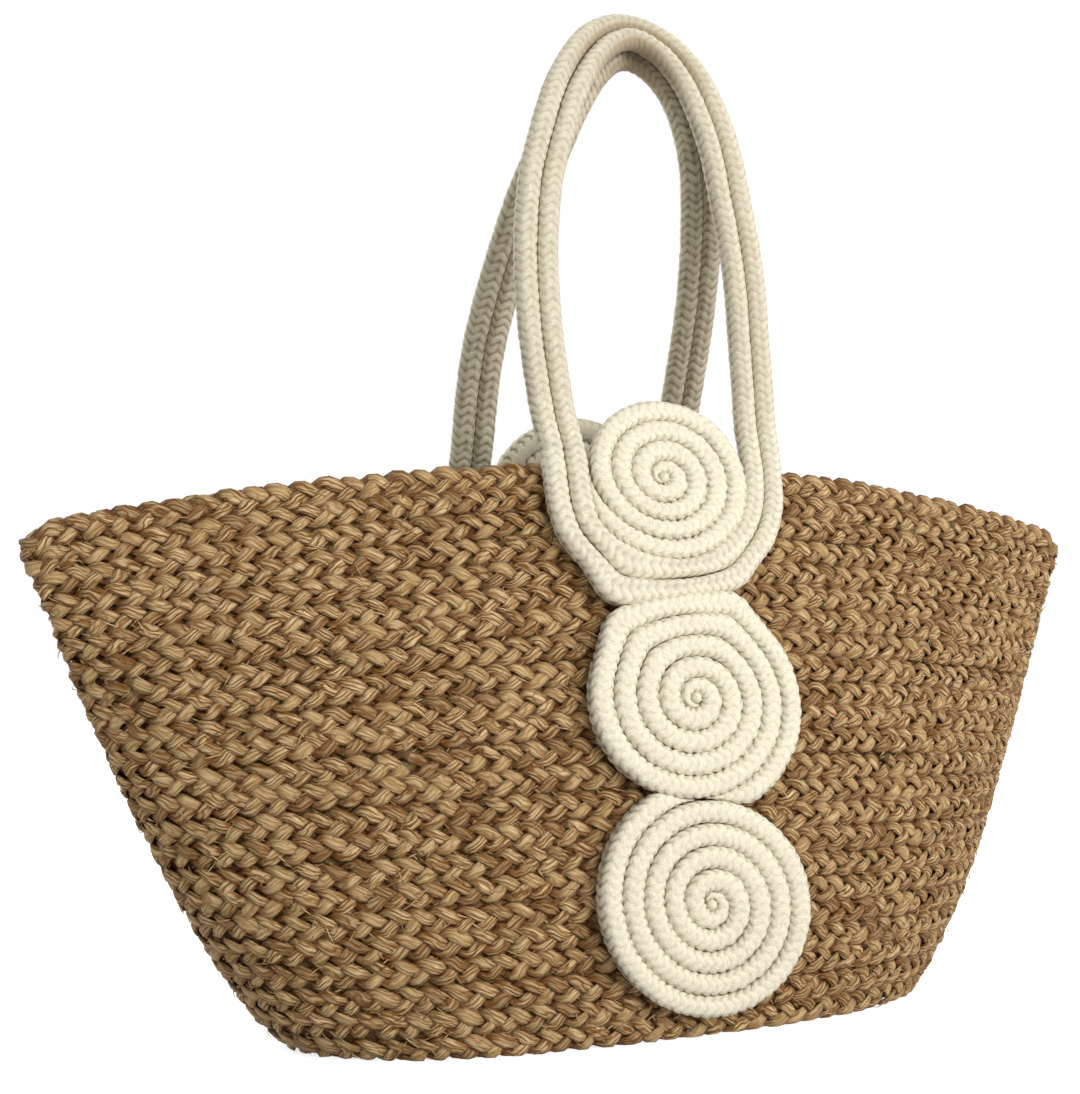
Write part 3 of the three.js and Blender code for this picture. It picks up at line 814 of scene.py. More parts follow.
cord = {
    "diameter": 10,
    "seam": 0.3,  # mm between two turns, and between the rope and the straw
    "sewnSeam": 0.6,  # mm between the top coil and the two cords sewn round it
    "coilWider": 1.01,
    "coilLower": 0.93,
    "lobePitch": 4.2,  # mm along the rope from one braided lobe to the next
    "rowsPerLobe": 4,
    "uneven": 0.9,  # mm that a lobe may lie ahead or behind
    "lobeSlant": 2.6,  # mm that a lobe runs ahead across its width
    "slantShares": (0, 0.5, 1, 0.5),  # of that, at the edges and middles of two columns
    "lobeRelief": (-0.42, 0.08, 0.26, 0.1),  # mm at the rows of a lobe
    "columnRelief": (-0.26, 0.12),  # mm between two columns of lobes and along a column
    "lump": 0.24,  # mm that each corner of a lobe may differ
    "reliefAside": 0.5,  # share of the relief that widens the rope
    "columns": 8,
    "grooveGrowth": 1.4,  # of a groove's painted shade with each mm of its depth
    "grooveShare": 0.7,
    "seamAngles": (48, 45),  # degrees from the top where the painted shade towards the seam starts, and its reach
    "seamOnLobes": 0.25,
    "seamShare": 0.9,
    "endShade": (0.3, 0.2, 0),
}
freeRope = {"relieved": 0.8, "powers": (0.95, 0.9)}  # the powers shape its section; lower is squarer
# rope that is sewn down is worn smooth on top, shows its teeth at the sides and has a broad back
sewnRope = {
    "relieved": 0.85,
    "powers": (0.8, 0.62),
    "teeth": (0.45, 1.4),  # times the relief, on top and at the sides
    "teethAngles": (15, 50),  # degrees from the top where they start, and their reach
    "shownColumns": 5,  # half columns on either side of the top
    "backAngle": 155,
    "backSize": (0.5, 0.85),  # of the rope's, aside and back
}
# grow is a coil's scale aside, below its middle and above it; shift and heart are in mm, and
# heart is how far off the middle the first turn lies
coils = {
    "top": {"aside": 6.5, "turns": 4.47, "slant": 0.07, "tuck": 225, "tail": (0, 44),
            "grow": (0.975, 1, 1), "shift": (-0.9, -2.2), "heart": (-3.0, -3.3)},
    "middle": {"aside": 0.5, "turns": 5.36, "slant": 0.02, "tuck": 305, "tail": (4, 30),
               "grow": (1, 0.955, 0.99), "shift": (0, 0.3), "heart": (0.4, 1.6)},
    "bottom": {"aside": 6.7, "turns": 5.48, "slant": -0.11, "tuck": 120, "tail": (2, 27),
               "grow": (0.967, 1, 1), "shift": (-1.4, 1.9), "heart": (-2.2, 0)},
}
# the corner that the cords above press the middle coil's turns up into, in degrees and mm
shoulder = {"coil": "middle", "at": 96, "halfAngle": 32, "fade": 14, "height": 5.6}
topCoilBelowRim = 5.9  # mm, of its middle
# both cords fill the room at the neck's corners: shares of the corner that each shifts and widens by
neck = {
    "angles": (28, 27),  # degrees from straight down to its left and its right corner
    "fade": 10,  # degrees
    "tilt": 5,
    "sag": 1.8,  # mm
    "drawnIn": 2.0,  # mm, on the right
    "squeeze": 0.83,  # of the cords' width
    "squeezeFade": 32,
    "shift": (0.28, 0.78),
    "widen": (0.36, 0.29),
}
steepest = 60  # degrees, to which a straight edge is followed round
lineSteps = {"neck": 240, "foot": 40, "leg": 60, "crown": 160, "lean": 1200, "hem": 900, "pocket": 400}
legAngles = (28, 8)  # degrees below level where the cords leave the top coil, left and right
handleAboveRim = 3
crownRoundness = 1.8
# lean is in degrees and sway in mm, each by the share of the handle's height
handles = {
    "front": {
        "aside": 0, "footHalfWidth": 49.5, "halfWidth": 53, "widestAt": 72, "height": 205,
        "lean": ((0.1, 4), (0.36, 4), (0.62, 2), (0.75, 10), (1, 38)),
        "sway": ((0, 8.8), (0.25, 5.6), (0.6, 4), (0.8, 7), (1, 14)),
    },
    "back": {
        "aside": -7, "footHalfWidth": 52.5, "halfWidth": 54, "widestAt": 45, "height": 206,
        "lean": ((0.1, 15), (0.3, 22), (0.5, 22), (0.65, 14), (0.76, 0), (1, -42)),
        "sway": ((0, 8.8), (0.25, 10), (0.6, 13), (0.8, 18), (1, 25)),
    },
}
cordRadius = cord["diameter"] / 2
cordPitch = cord["diameter"] + cord["seam"]
ridge = cordRadius + cord["seam"]


def turnsAt(coil, angle):
    return coil["turns"] - ((angle - coil["tuck"]) % 360) / 360


def edgeUp(coil, angle):
    return turnsAt(coil, angle) * cord["diameter"] * cord["coilLower"]


neckCord = cord["diameter"] * neck["squeeze"]
neckDrop = edgeUp(coils["top"], 270) + cord["seam"] + neckCord + cord["sewnSeam"] + neckCord / 2
coils["top"]["up"] = -topCoilBelowRim
coils["middle"]["up"] = (coils["top"]["up"] - neckDrop - neckCord / 2 - cord["seam"]
                         - edgeUp(coils["middle"], 90))
coils["bottom"]["up"] = (coils["middle"]["up"] - edgeUp(coils["middle"], 270) - cord["seam"]
                         - edgeUp(coils["bottom"], 90))


def ropeMesh(middle, out, wide, high, sewn, random):
    # a rope along a line of close points: columns of slanted lobes, laid like a chain of Vs. Sewn
    # rope has two ends and shows only its outer part; free rope is round and closes on itself
    def whole(values):
        return values if sewn else ringed(values)

    kind = sewnRope if sewn else freeRope
    run = runOf(whole(middle))
    total = run[-1]
    lobes = max(2, int(round(total / cord["lobePitch"])))
    rows = lobes * cord["rowsPerLobe"]
    row = np.arange(rows)
    spots = np.linspace(0, total, rows, endpoint=sewn)
    waver = softNoise(random, spots / total * 0.9999, max(4, lobes // 3))  # short of where it starts again
    spots = spots + waver * cord["uneven"]
    half = 180 / cord["columns"]
    if sewn:
        most, back = sewnRope["shownColumns"], sewnRope["backAngle"]
        shown = np.arange(-most, most + 1)
        degrees = np.concatenate([[-back], shown * half, [back]])
        order = np.concatenate([shown[-1:], shown, shown[-1:]])
        heading = unit(np.gradient(middle, axis=0))
    else:
        order = np.arange(2 * cord["columns"])
        degrees = order * half
        heading = unit(np.roll(middle, -2, 0) - np.roll(middle, 2, 0))
    at = spots[:, None] + np.array(cord["slantShares"])[order % 4] * cord["lobeSlant"]
    at = np.clip(at - cord["lobeSlant"] / 2, 0, total) if sewn else at % total
    centre, ahead, outward, size = (readAt(at, run, whole(values))
                                    for values in (middle, heading, out, np.stack([wide, high], -1)))
    ahead = unit(ahead)
    outward = unit(outward - ahead * (outward * ahead).sum(-1, keepdims=True))
    side = np.cross(ahead, outward)
    fromTop = np.abs((degrees + 180) % 360 - 180)
    relief = (np.array(cord["lobeRelief"])[row % cord["rowsPerLobe"]][:, None]
              + np.array(cord["columnRelief"])[order % 2])
    lump = random.uniform(-cord["lump"], cord["lump"], (lobes, len(degrees)))[row // cord["rowsPerLobe"]]
    relief = (relief + lump) * kind["relieved"]
    if sewn:
        start, reach = sewnRope["teethAngles"]
        relief = relief * mix(*sewnRope["teeth"], smooth((fromTop - start) / reach))
        relief[:, [0, -1]] = 0
    angle = np.radians(degrees)
    x = (size[..., 0] + relief * cord["reliefAside"]) * signedPower(np.sin(angle), kind["powers"][0])
    y = (size[..., 1] + relief) * signedPower(np.cos(angle), kind["powers"][1])
    if sewn:
        aside, back = sewnRope["backSize"]
        x[:, [0, -1]] = np.sign(x[:, [0, -1]]) * size[:, [0, -1], 0] * aside
        y[:, [0, -1]] = -size[:, [0, -1], 1] * back
    points = (centre + side * x[..., None] + outward * y[..., None]).reshape(-1, 3)
    sides = len(degrees)
    faces = tubeFaces(rows, sides, not sewn)[:, ::-1]
    # painted shade: darker in the braid's grooves, and towards the sides where the rope meets its
    # neighbours
    deep = np.clip(-relief / kind["relieved"] * cord["grooveGrowth"], 0, 1)
    start, reach = cord["seamAngles"]
    seam = smooth((fromTop - start) / reach) * mix(cord["seamOnLobes"], 1, deep)
    lies = np.stack(np.broadcast_arrays(at, angle * cordRadius, 0), -1).reshape(-1, 3)
    shades = np.stack(np.broadcast_arrays(deep * cord["grooveShare"] * kind["relieved"],
                                          seam * cord["seamShare"], 0), -1).reshape(-1, 3)
    if sewn:
        for first, flipped in ((0, False), ((rows - 1) * sides, True)):
            faces = np.vstack([faces, fan(len(points), first, sides, flipped)])
            points = np.vstack([points, points[first:first + sides].mean(0)])
            lies, shades = np.vstack([lies, lies[first]]), np.vstack([shades, cord["endShade"]])
    return points, lies, shades, faces


def mirrored(side, points):
    return points * [1, -1, 1] if side == "back" else points


heart = {
    "radius": 3.0,
    "sides": 14,
    "falls": (0.3, 0.62, 0.95, 1.25, 1.5),  # radians down from its top
    "teeth": 0.3,
    "uneven": (0.15, 0.1),  # mm aside and out
    # painted shade of groove and seam, low on the knob
    "shade": (0.8, 0.4),
}
winding = {
    "stepsPerTurn": 160,
    "start": 0.08,  # of a turn, further in than the knob's edge
    "fullness": 0.99,  # of the cord's radius
    "overKnob": 0.5,  # mm that it may lie over the knob
    "halfWidths": (0.485, 0.495),  # of the pitch, aside and up
    "tailLoss": 0.9,  # of its width, where its end thins out
    "tailHeight": 0.5,  # of its height, where nothing is left of its width
    "startHeight": 0.8,
    "pushed": (0.92, 0.55, 0.25, 0),  # of the shoulder, turn by turn inwards
    "widened": (0.24, 0.17, 0.13, 0),
}


def onCoil(place, radius, angle):
    coil = coils[place]
    aside, below, above = coil["grow"]
    rise = radius * np.sin(angle)
    x = radius * np.cos(angle) * cord["coilWider"] * aside + rise * coil["slant"]
    y = rise * cord["coilLower"] * np.where(rise < 0, below, above)
    loose = np.clip(1 - radius / (coil["turns"] * cord["diameter"]), 0, 1)
    return (coil["aside"] + coil["shift"][0] + x + coil["heart"][0] * loose,
            coil["up"] + coil["shift"][1] + y + coil["heart"][1] * loose)


def coilLine(place, face):
    # from the knob at the heart of the coil to its outer end, which thins out between its neighbours
    coil = coils[place]
    last = coil["turns"] - 0.5
    keep, tail = coil["tail"]
    first = last + winding["start"]
    turn = np.linspace(first, -tail / 360, int((first + tail / 360) * winding["stepsPerTurn"]))
    full = cordRadius * winding["fullness"]
    outer = (last - turn) * cord["diameter"] + full
    inner = np.maximum(outer - 2 * full, heart["radius"] - winding["overKnob"])
    radius, narrow = (outer + inner) / 2, (outer - inner) / 2 / full
    angle = np.radians(coil["tuck"]) + 2 * math.pi * turn
    level, upright = winding["halfWidths"]
    wide = mix(cordPitch * level, cord["diameter"] * cord["coilLower"] * upright, np.sin(angle) ** 2)
    pull = coil["heart"][0] * np.cos(angle) + coil["heart"][1] * np.sin(angle)
    wide = wide * (1 - pull / (coil["turns"] * cord["diameter"]))
    # the end keeps to the turn inside it while its width goes
    left = 1 - winding["tailLoss"] * smooth((-turn * 360 - keep) / (tail - keep))
    radius = radius - cordRadius * (1 - left)
    wide = wide * left * narrow
    if place == shoulder["coil"]:
        off = np.abs((np.degrees(angle) - shoulder["at"] + 180) % 360 - 180)
        corner = 1 / math.cos(math.radians(shoulder["halfAngle"])) - 1
        flat = (1 / np.cos(np.radians(np.minimum(off, steepest))) - 1) / corner
        past = np.exp(-(((off - shoulder["halfAngle"]) / shoulder["fade"]) ** 2))
        push = shoulder["height"] * np.where(off < shoulder["halfAngle"], flat, past)
        radius = radius + push * np.interp(turn, range(4), winding["pushed"])
        wide = wide + push * np.interp(turn, range(4), winding["widened"])
    aside, up = onCoil(place, radius, angle)
    high = cordRadius * mix(winding["tailHeight"], 1, left) * mix(winding["startHeight"], 1, narrow)
    return (*faceStop(face["aside"] + aside, up, cord["seam"] + high), wide, high)


def coilHeart(place, side, random):
    # the rope's end, tucked into the middle of the coil as a small knob
    sides = heart["sides"]
    count = np.arange(sides)
    around = count * 2 * math.pi / sides
    aside, up = onCoil(place, 0.0, 0.0)
    aside = aside + handles[side]["aside"]
    loose, lumpy = heart["uneven"]
    rings = []
    for fall in heart["falls"]:
        teeth = heart["teeth"] * np.where(count % 2, 1, -1)
        reach = (heart["radius"] + teeth) * math.sin(fall) + random.uniform(-loose, loose, sides)
        lift = cord["seam"] + cordRadius * (1 + math.cos(fall)) + random.uniform(-lumpy, lumpy, sides)
        rings.append(faceStop(aside + reach * np.cos(around), up + reach * np.sin(around), lift)[0])
    top = faceStop(aside, up, cord["seam"] + cord["diameter"])[0].reshape(1, 3)
    points = mirrored(side, np.vstack([*rings, top]))
    front = side == "front"
    faces = tubeFaces(len(rings), sides, False)
    faces = np.vstack([faces[:, ::-1] if front else faces, fan(len(rings) * sides, 0, sides, not front)])
    lies = np.stack([points[:, 0], points[:, 2], np.zeros(len(points))], -1)
    # painted shade, darkest low on the knob where it meets the coil
    deep = np.append(np.repeat(np.sin(heart["falls"]) ** 6, sides), 0)
    return points, lies, deep[:, None] * [*heart["shade"], 0], faces


def makeCoil(side, place, seed):
    random = np.random.default_rng(seed)
    middle, out, wide, high = coilLine(place, handles[side])
    wound = ropeMesh(mirrored(side, middle), mirrored(side, out), wide, high, True, random)
    points, lies, shades, faces = joined([wound, coilHeart(place, side, random)])
    name = side + place.capitalize() + "Coil"
    piece = addPiece(name, points, faces, [rope], {"ropeLie": lies, "ropeShade": shades})
    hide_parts(f"{side}_{place}_coil")
    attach(piece, "bag")
    print(name, len(faces), "faces")


def neckAngle(angle):
    return np.where(angle < 270, *neck["angles"])  # left and right corner


def squeezeAt(angle):
    past = (np.abs(angle - 270) - neckAngle(angle)) / neck["squeezeFade"]
    return mix(neck["squeeze"], 1, smooth(past))


def cornerBump(angle):
    # how far the outer cord stands off at the two corners of the neck, to run level between them
    fromBottom = np.abs(angle - 270)
    tilted = np.where(angle < 270, 1, -1) * neck["tilt"]
    level = neckDrop / np.cos(np.radians(neckAngle(angle) + tilted)) - neckDrop
    inner = neckDrop / np.cos(np.radians(np.minimum(fromBottom, steepest) + tilted)) - neckDrop
    outer = level * np.exp(-(((fromBottom - neckAngle(angle)) / neck["fade"]) ** 2))
    return np.where(fromBottom <= neckAngle(angle), inner, outer)


def wrapPoint(wrap, angle):
    top = coils["top"]
    width = cord["diameter"] * squeezeAt(angle)
    offset = cord["seam"] + width / 2 + wrap * (width + cord["sewnSeam"])
    tucked = smooth((top["tuck"] - angle) / (top["tuck"] - 180))
    turns = np.where(angle < top["tuck"], mix(top["turns"], turnsAt(top, 180), tucked), turnsAt(top, angle))
    offset = offset + cornerBump(angle) * mix(*neck["shift"], wrap)
    c, s = np.cos(np.radians(angle)), np.sin(np.radians(angle))
    y = s * (turns * cord["diameter"] * cord["coilLower"] + offset)
    x = c * (turns * cord["diameter"] * cord["coilWider"] + offset) + y / cord["coilLower"] * top["slant"]
    return x - neck["drawnIn"] * np.maximum(c, 0), y - neck["sag"] * np.minimum(s, 0) ** 2


def valueAt(knots, share):
    return np.interp(share, [at for at, _ in knots], [value for _, value in knots])


def sideAt(face, height):
    return face["aside"] + valueAt(face["sway"], height / face["height"])


def leanAt(face, height):
    rimLean = math.degrees(math.asin(rimRise[0]))
    return np.radians(valueAt(((0, rimLean), *face["lean"]), height / face["height"]))


def footCurve(face, wrap, angle, sign):
    # from the coil's side up to the handle's foot
    x, y = wrapPoint(0.5, np.array([angle, angle + sign], float))
    start = np.array([x[0], y[0]])
    foot = sideAt(face, 0) - face["aside"] + sign * face["footHalfWidth"]
    end = np.array([foot - coils["top"]["aside"], handleAboveRim - coils["top"]["up"]])
    ahead = unit(np.array([x[1] - x[0], y[1] - y[0]]))
    third = np.linalg.norm(end - start) / 3
    near, far = start + ahead * third, end - [0, third]
    t = np.linspace(0, 1, lineSteps["foot"])[:, None]
    curve = (1 - t) ** 3 * start + 3 * t * (1 - t) ** 2 * near + 3 * t * t * (1 - t) * far + t ** 3 * end
    tangent = unit(np.gradient(curve, axis=0))
    offset = sign * (wrap - 0.5) * cordPitch
    return curve + np.stack([tangent[:, 1], -tangent[:, 0]], -1) * offset


def sewnLine(face, wrap):
    first, last = 180 + legAngles[0], 360 - legAngles[1]
    angles = np.linspace(first, last, lineSteps["neck"])[1:-1]
    left, right = footCurve(face, wrap, first, -1)[::-1], footCurve(face, wrap, last, 1)
    run = np.vstack([left, np.stack(wrapPoint(wrap, angles), -1), right])
    widened = squeezeAt(angles) + cornerBump(angles) * neck["widen"][wrap] / cordRadius
    squeeze = np.concatenate([np.ones(len(left)), widened, np.ones(len(right))])
    top = coils["top"]
    middle, out = faceStop(face["aside"] + top["aside"] + run[:, 0], top["up"] + run[:, 1], ridge)
    return middle, out, squeeze


def archLine(face, wrap):
    share = np.linspace(0, 1, lineSteps["leg"])[:-1]
    narrow = (face["halfWidth"] - face["footHalfWidth"]) * (1 - share) ** 2
    leg = np.stack([face["halfWidth"] - narrow, face["widestAt"] * share], -1)
    turn = np.linspace(0, math.pi / 2, lineSteps["crown"])
    crown = face["height"] - face["widestAt"]
    arch = np.stack([face["halfWidth"] * np.abs(np.cos(turn)) ** (2 / crownRoundness),
                     face["widestAt"] + crown * np.sin(turn) ** (2 / crownRoundness)], -1)
    half = np.vstack([leg, arch])
    sway = sideAt(face, half[:, 1])
    right = np.stack([sway + half[:, 0], half[:, 1]], -1)
    left = np.stack([sway - half[:, 0], half[:, 1]], -1)[:-1][::-1]
    whole = np.vstack([right, left])
    ahead = unit(np.gradient(whole, axis=0))
    ahead[0], ahead[-1] = (0, 1), (0, -1)
    offset = (wrap - 0.5) * cordPitch
    height = whole[:, 1] - ahead[:, 0] * offset
    feet = [faceStop(sideAt(face, 0) + sign * face["footHalfWidth"], handleAboveRim, ridge)[0]
            for sign in (-1, 1)]
    foot = min(feet, key=lambda point: point[1])
    fine = np.linspace(0, face["height"] * 1.1, lineSteps["lean"])
    slope = leanAt(face, fine)
    depth, rise = (start + np.append(0, np.cumsum(way(slope[:-1]) * np.diff(fine)))
                   for start, way in zip(foot[1:], (np.sin, np.cos)))
    middle = np.stack([whole[:, 0] + ahead[:, 1] * offset, np.interp(height, fine, depth),
                       np.interp(height, fine, rise)], -1)
    lean = leanAt(face, np.maximum(height, 0))
    out = np.stack([np.zeros_like(lean), -np.cos(lean), np.sin(lean)], -1)
    return middle, out


def evenLoop(middle, out, squeeze, softness):
    # even steps round a closed line, with its kinks rounded over
    run = runOf(ringed(middle))
    keep = np.append(True, np.diff(run) > 1e-6)
    steps = int(run[-1])
    at = np.arange(steps) * run[-1] / steps
    reach = np.arange(-4 * softness, 4 * softness + 1)
    weights = np.exp(-0.5 * (reach / softness) ** 2)
    weights /= weights.sum()
    found = []
    for values in (middle, out, squeeze[:, None]):
        even = readAt(at, run[keep], ringed(values)[keep])
        found.append(sum(np.roll(even, -shift, 0) * weight for shift, weight in zip(reach, weights)))
    return found[0], unit(found[1]), found[2][:, 0]


handleShadeAndTint = {
    "from": 0.74,  # of the handle's height
    "full": 0.95,
    "most": 0.9,
    "underFrom": -0.75,  # of the rope's radius, below its middle
    "legs": 0.2,
    "legsFull": 0.2,
}


def handleShadeAndTintAt(face, points, middle, at):
    # painted shade, most of all on the underside of the handle's top, and a lighter darkening along the
    # rest of the handle, fading in over its lowest fifth
    line = ringed(middle)
    level = np.interp(at, runOf(line), line[:, 2])
    height = (points[:, 2] - bag["height"]) / face["height"]
    under = smooth((level - points[:, 2]) / cordRadius - handleShadeAndTint["underFrom"])
    upper = smooth((height - handleShadeAndTint["from"]) / (handleShadeAndTint["full"] - handleShadeAndTint["from"]))
    legs = smooth(height / handleShadeAndTint["legsFull"])
    return np.maximum(handleShadeAndTint["most"] * under * upper, handleShadeAndTint["legs"] * legs)


kinkSoftness = 4  # mm


def makeHandleCord(side, name, wrap, seed):
    # one length of rope, sewn round the lower half of the top coil and looped over as the handle
    random = np.random.default_rng(seed)
    face = handles[side]
    sewn, sewnOut, squeeze = sewnLine(face, wrap)
    arch, archOut = archLine(face, wrap)
    middle = np.vstack([sewn[:-1], arch[:-1]])
    out = np.vstack([sewnOut[:-1], archOut[:-1]])
    squeeze = np.concatenate([squeeze[:-1], np.ones(len(arch) - 1)])
    middle, out, squeeze = evenLoop(middle, out, squeeze, kinkSoftness)
    middle, out = mirrored(side, middle), mirrored(side, out)
    high = np.full(len(middle), cordRadius - 0.02)  # clear of the cord beside it
    points, lies, shades, faces = ropeMesh(middle, out, high * squeeze, high, False, random)
    # painted shade under the handle's top, and a lighter darkening along the handle
    shades[:, 2] = handleShadeAndTintAt(face, points, middle, lies[:, 0])
    label = side + name.capitalize() + "Cord"
    piece = addPiece(label, points, faces, [rope], {"ropeLie": lies, "ropeShade": shades})
    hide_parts(f"{side}_{name}_sewn_cord", f"{side}_{name}_handle_cord")
    joint = next(j for j in frame["joints"] if j["child"] == f"{side}_handle")
    x, y, z = joint["pos_m"]
    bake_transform(piece)
    print(label, len(faces), "faces")


for number, side in enumerate(("front", "back")):
    for step, place in enumerate(coils):
        makeCoil(side, place, 40 + 10 * number + step)
    makeHandleCord(side, "inner", 0, 60 + number)
    makeHandleCord(side, "outer", 1, 70 + number)


lining = {
    "seed": 88,
    "inset": 5.35,  # mm in from the outside of the straw
    "thickness": 1.0,
    "belowRim": 12,
    "hem": 9,
    "hemThickness": 0.9,
    "folds": ((38, 0.6), (90, 0.4)),  # how many round the bag, and their share
    "foldDepth": 1.5,
    "foldSway": 0.12,  # of the depth, from level to level
    "swayKnots": 30,
    "foldFade": 0.12,  # of the height, where the folds end at the floor and the hem
    "levels": ((0.05, 0.9, 18), (0.915, 4)),  # of its rings, below the hem and from there to the top
    "floorLift": 0.35,  # mm over the straw
    "floorEdges": ((0.024, 0, 0), (0.026, 1.2, 1.0)),  # level, mm inwards and mm up, below and on top
    "floorScales": (0.02, 0.3, 0.55, 0.78, 0.93, 1),
    "around": 360,
    "stitch": 3.4,
    "stitchGap": 1.4,
    "stitchLevel": 0.006,  # over the hem's lower edge
    "threadRadius": 0.28,
    "threadGirth": (0.35, 0.9, 1, 0.9, 0.35),  # of it, along a stitch
    "threadLift": 0.4,
}
pocket = {
    "width": 150,
    "top": 165,
    "bottom": 60,
    "behind": 3.45,  # mm from the straw to its back, past the lining
    "thickness": 1.0,
    "belly": 1.6,  # mm that its mouth stands off between its two sewn sides
    "hem": 12,
    "hemThickness": 0.5,
    "edge": 4,
    "hemSeam": 1.5,  # mm over the hem's lower edge
    "grid": (34, 48),
    "stitch": 3.0,
    "stitchPitch": 4.2,
}


def stitchRun(line, out, spacing, dash):
    # short stitches along a line of points on the cloth
    run = runOf(line)
    starts = np.arange(0, run[-1] - dash, spacing)
    girths = np.array(lining["threadGirth"]) * lining["threadRadius"]
    rings = len(girths)
    at = starts[:, None] + dash * np.linspace(0, 1, rings)
    middle, lift = readAt(at, run, line), readAt(at, run, out)
    side = unit(np.cross(unit(np.gradient(middle, axis=1)), lift))
    raised = lining["threadRadius"] * lining["threadLift"]
    around = [middle + lift * (math.cos(turn) * girths + raised)[:, None]
              + side * (math.sin(turn) * girths)[:, None] for turn in np.radians((0, 90, 180, 270))]
    points = np.stack(around, 2).reshape(-1, 3)
    corners = rings * len(around)
    ends = [[0, 1, 2, 3], [corners - 1, corners - 2, corners - 3, corners - 4]]
    pattern = np.vstack([tubeFaces(rings, len(around), False)[:, ::-1], ends])
    return points, copied(pattern, corners, len(starts))


def addCloth(name, cloth, seams):
    points, faces = joined([cloth, *seams])
    stitched = np.arange(len(faces)) >= len(cloth[1])
    return addPiece(name, points, faces, [liningCotton, thread], faceMaterial=stitched)


def makeLiningCloth():
    random = np.random.default_rng(lining["seed"])
    top = 1 - lining["belowRim"] / bag["height"]
    hemShare = top - lining["hem"] / bag["height"]
    around = lining["around"]
    count = np.arange(around) / around
    folds = sum(softNoise(random, count, knots) * size for knots, size in lining["folds"])
    folds = np.clip(folds * 0.5 + 0.5, 0, 1)

    def ring(share, inset, steps=around):
        return evenRing(lambda at: wallPoint(share, at, inset), steps)[0]

    def foldRing(share, inset):
        fade, least = lining["foldFade"], lining["floorScales"][0]
        hemless = smooth((top - share) / fade) * smooth((share - least) / fade)
        sway = softNoise(random, count + share * 0.01, lining["swayKnots"]) * lining["foldSway"]
        folded = np.clip(folds + sway, 0, 1) * hemless
        return mix(ring(share, inset), ring(share, inset + lining["foldDepth"]), folded[:, None])

    low, (highFrom, highCount) = lining["levels"]
    shares = np.append(np.linspace(*low), np.linspace(highFrom, top, highCount))
    inside = lining["inset"] + lining["thickness"]
    state = random.bit_generator.state
    outer = [foldRing(share, lining["inset"]) for share in shares]
    random.bit_generator.state = state  # so that the inside has the same folds
    inner = [foldRing(share, inside + lining["hemThickness"] * (share > hemShare)) for share in shares]
    floors = []
    for level, inwards, up in lining["floorEdges"]:
        edge = ring(level, lining["inset"] + inwards)
        edge[:, 2] = bag["wallThickness"] + lining["floorLift"] + up
        floors.append([edge * [scale, scale, 1] for scale in lining["floorScales"]])
    rings = floors[0] + outer + inner[::-1] + floors[1][::-1]
    points, faces = np.concatenate(rings), tubeFaces(len(rings), around, False)
    for first, flipped in ((0, True), ((len(rings) - 1) * around, False)):
        faces = np.vstack([faces, fan(len(points), first, around, flipped)])
        points = np.vstack([points, points[first:first + around].mean(0)])
    line = ringed(ring(hemShare + lining["stitchLevel"], inside + lining["hemThickness"], lineSteps["hem"]))
    inward = unit(line * [-0.02, -1, 0])
    seam = stitchRun(line, inward, lining["stitch"] + lining["stitchGap"], lining["stitch"])
    piece = addCloth("liningCloth", (points, faces), [seam])
    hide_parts("lining")
    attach(piece, "bag")
    print("lining:", len(piece.data.polygons), "faces")


def pocketPoint(x, z, out):
    # on the pocket's back where out is 0, on its front where it is 1
    reach = np.abs(x) / (pocket["width"] / 2)
    height = (z - pocket["bottom"]) / (pocket["top"] - pocket["bottom"])
    belly = pocket["belly"] * (1 - reach ** 2) * height ** 1.5
    thick = pocket["thickness"] + np.where(z > pocket["top"] - pocket["hem"], pocket["hemThickness"], 0)
    behind = bag["wallThickness"] + pocket["behind"]
    return np.stack([x, depthAt(x, z) - behind - belly - thick * out, z], -1)


def makePocketCloth():
    rows, columns = pocket["grid"]
    half = pocket["width"] / 2
    gridX, gridZ = np.meshgrid(np.linspace(-half, half, columns + 1),
                               np.linspace(pocket["bottom"], pocket["top"], rows + 1))
    points = np.concatenate([pocketPoint(gridX, gridZ, out).reshape(-1, 3) for out in (0, 1)])
    spots = np.arange(gridX.size).reshape(gridX.shape)
    back = np.stack([spots[:-1, :-1], spots[1:, :-1], spots[1:, 1:], spots[:-1, 1:]], -1)
    sheets = np.stack([back, back[..., [0, 3, 2, 1]] + gridX.size], 2).reshape(-1, 4)
    rim = np.concatenate([spots[0, :-1], spots[:-1, -1], spots[-1, :0:-1], spots[:0:-1, 0]])
    after = np.roll(rim, -1)
    faces = np.vstack([sheets, np.stack([rim, after, gridX.size + after, gridX.size + rim], -1)])
    right, low = half - pocket["edge"], pocket["bottom"] + pocket["edge"]
    high, hem = pocket["top"] - 1, pocket["top"] - pocket["hem"] + pocket["hemSeam"]
    seams = []
    sides = ((-right, high), (-right, low), (right, low), (right, high))
    for route in (sides, ((-right, hem), (right, hem))):
        corners = np.arange(len(route))
        along = readAt(np.linspace(0, corners[-1], lineSteps["pocket"]), corners, np.array(route, float))
        line = pocketPoint(along[:, 0], along[:, 1], 1)
        inward = np.tile([0.0, -1.0, 0.0], (len(line), 1))
        seams.append(stitchRun(line, inward, pocket["stitchPitch"], pocket["stitch"]))
    piece = addCloth("pocketCloth", (points, faces), seams)
    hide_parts("lining_pocket")
    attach(piece, "bag")
    print("pocket:", len(piece.data.polygons), "faces")


makeLiningCloth()
makePocketCloth()

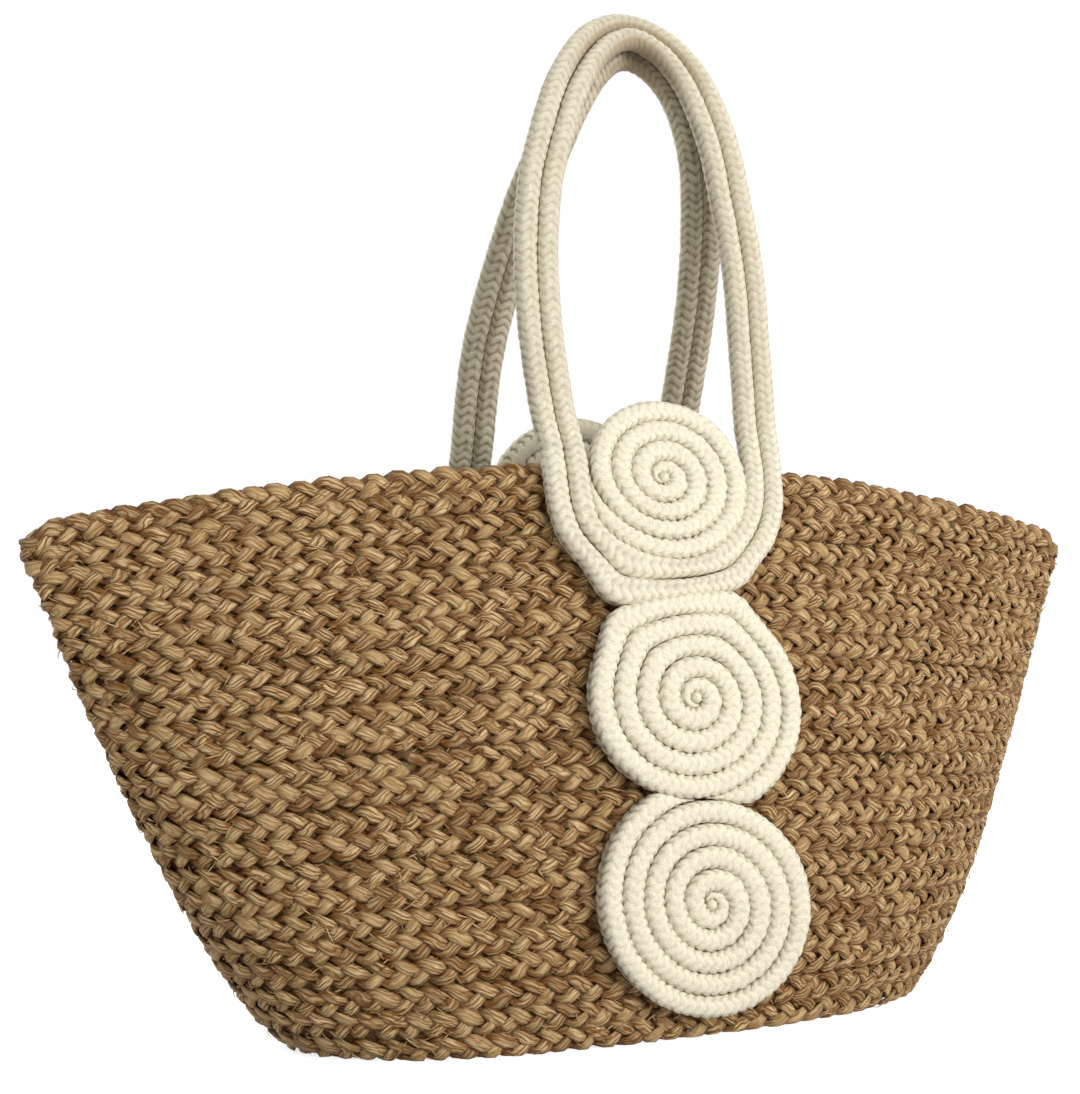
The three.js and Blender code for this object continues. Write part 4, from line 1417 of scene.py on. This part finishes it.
studio = {
    "floorSize": 12.0,
    "floorColour": "#c2c2c2",
    "floorGlow": 0.8,  # for the camera alone, so that the floor is white away from the shadow
    "worldColour": "#ffffff",
    "worldLevel": 0.56,
    "keyPlace": (0.9, -2.6, 0.85),
    "keySize": 2.2,
    "keyPower": 74,
    "fillPlace": (-0.9, 2.4, 1.5),
    "fillSize": 2.2,
    "fillPower": 58,
    "aim": (0, 0, 0.15),
}


def seenDirectly(tree):
    path = addNode(tree, "LightPath")
    sharp = addNode(tree, "Math", {"operation": "MAXIMUM"},
                    links={0: path.outputs["Is Glossy Ray"], 1: path.outputs["Is Transmission Ray"]})
    both = addNode(tree, "Math", {"operation": "MAXIMUM"},
                   links={0: path.outputs["Is Camera Ray"], 1: sharp})
    return both


def makeStudio(values):
    half = values["floorSize"] / 2
    mesh = bpy.data.meshes.new("floor")
    corners = [(x * half, y * half, 0) for x, y in ((-1, -1), (1, -1), (1, 1), (-1, 1))]
    mesh.from_pydata(corners, [], [(0, 1, 2, 3)])
    floor = bpy.data.objects.new("floor", mesh)
    scene.collection.objects.link(floor)
    material, tree = newMaterial("Pale studio floor")
    matt = addNode(tree, "BsdfDiffuse", {}, {"Color": linear(values["floorColour"])})
    strength = addNode(tree, "Math", {"operation": "MULTIPLY"}, {1: values["floorGlow"]},
                       {0: seenDirectly(tree)})
    glow = addNode(tree, "Emission", links={"Strength": strength})
    both = addNode(tree, "AddShader", links={0: matt, 1: glow})
    addNode(tree, "OutputMaterial", links={"Surface": both})
    mesh.materials.append(material)

    world = bpy.data.worlds.new("studio")
    world.use_nodes = True
    scene.world = world
    tree = world.node_tree
    tree.nodes.clear()
    lit = addNode(tree, "Background", {},
                  {"Color": linear(values["worldColour"]), "Strength": values["worldLevel"]})
    white = addNode(tree, "Background", {}, {"Color": linear("#ffffff"), "Strength": 1})
    chosen = addNode(tree, "MixShader", links={0: seenDirectly(tree), 1: lit, 2: white})
    addNode(tree, "OutputWorld", links={"Surface": chosen})

    for name in ("key", "fill"):
        data = bpy.data.lights.new(name, "AREA")
        data.size = values[name + "Size"]
        data.energy = values[name + "Power"]
        lamp = bpy.data.objects.new(name, data)
        lamp.location = values[name + "Place"]
        aim = Vector(values["aim"]) - lamp.location
        lamp.rotation_euler = aim.to_track_quat("-Z", "Y").to_euler()
        scene.collection.objects.link(lamp)


makeStudio(studio)
print("studio made")
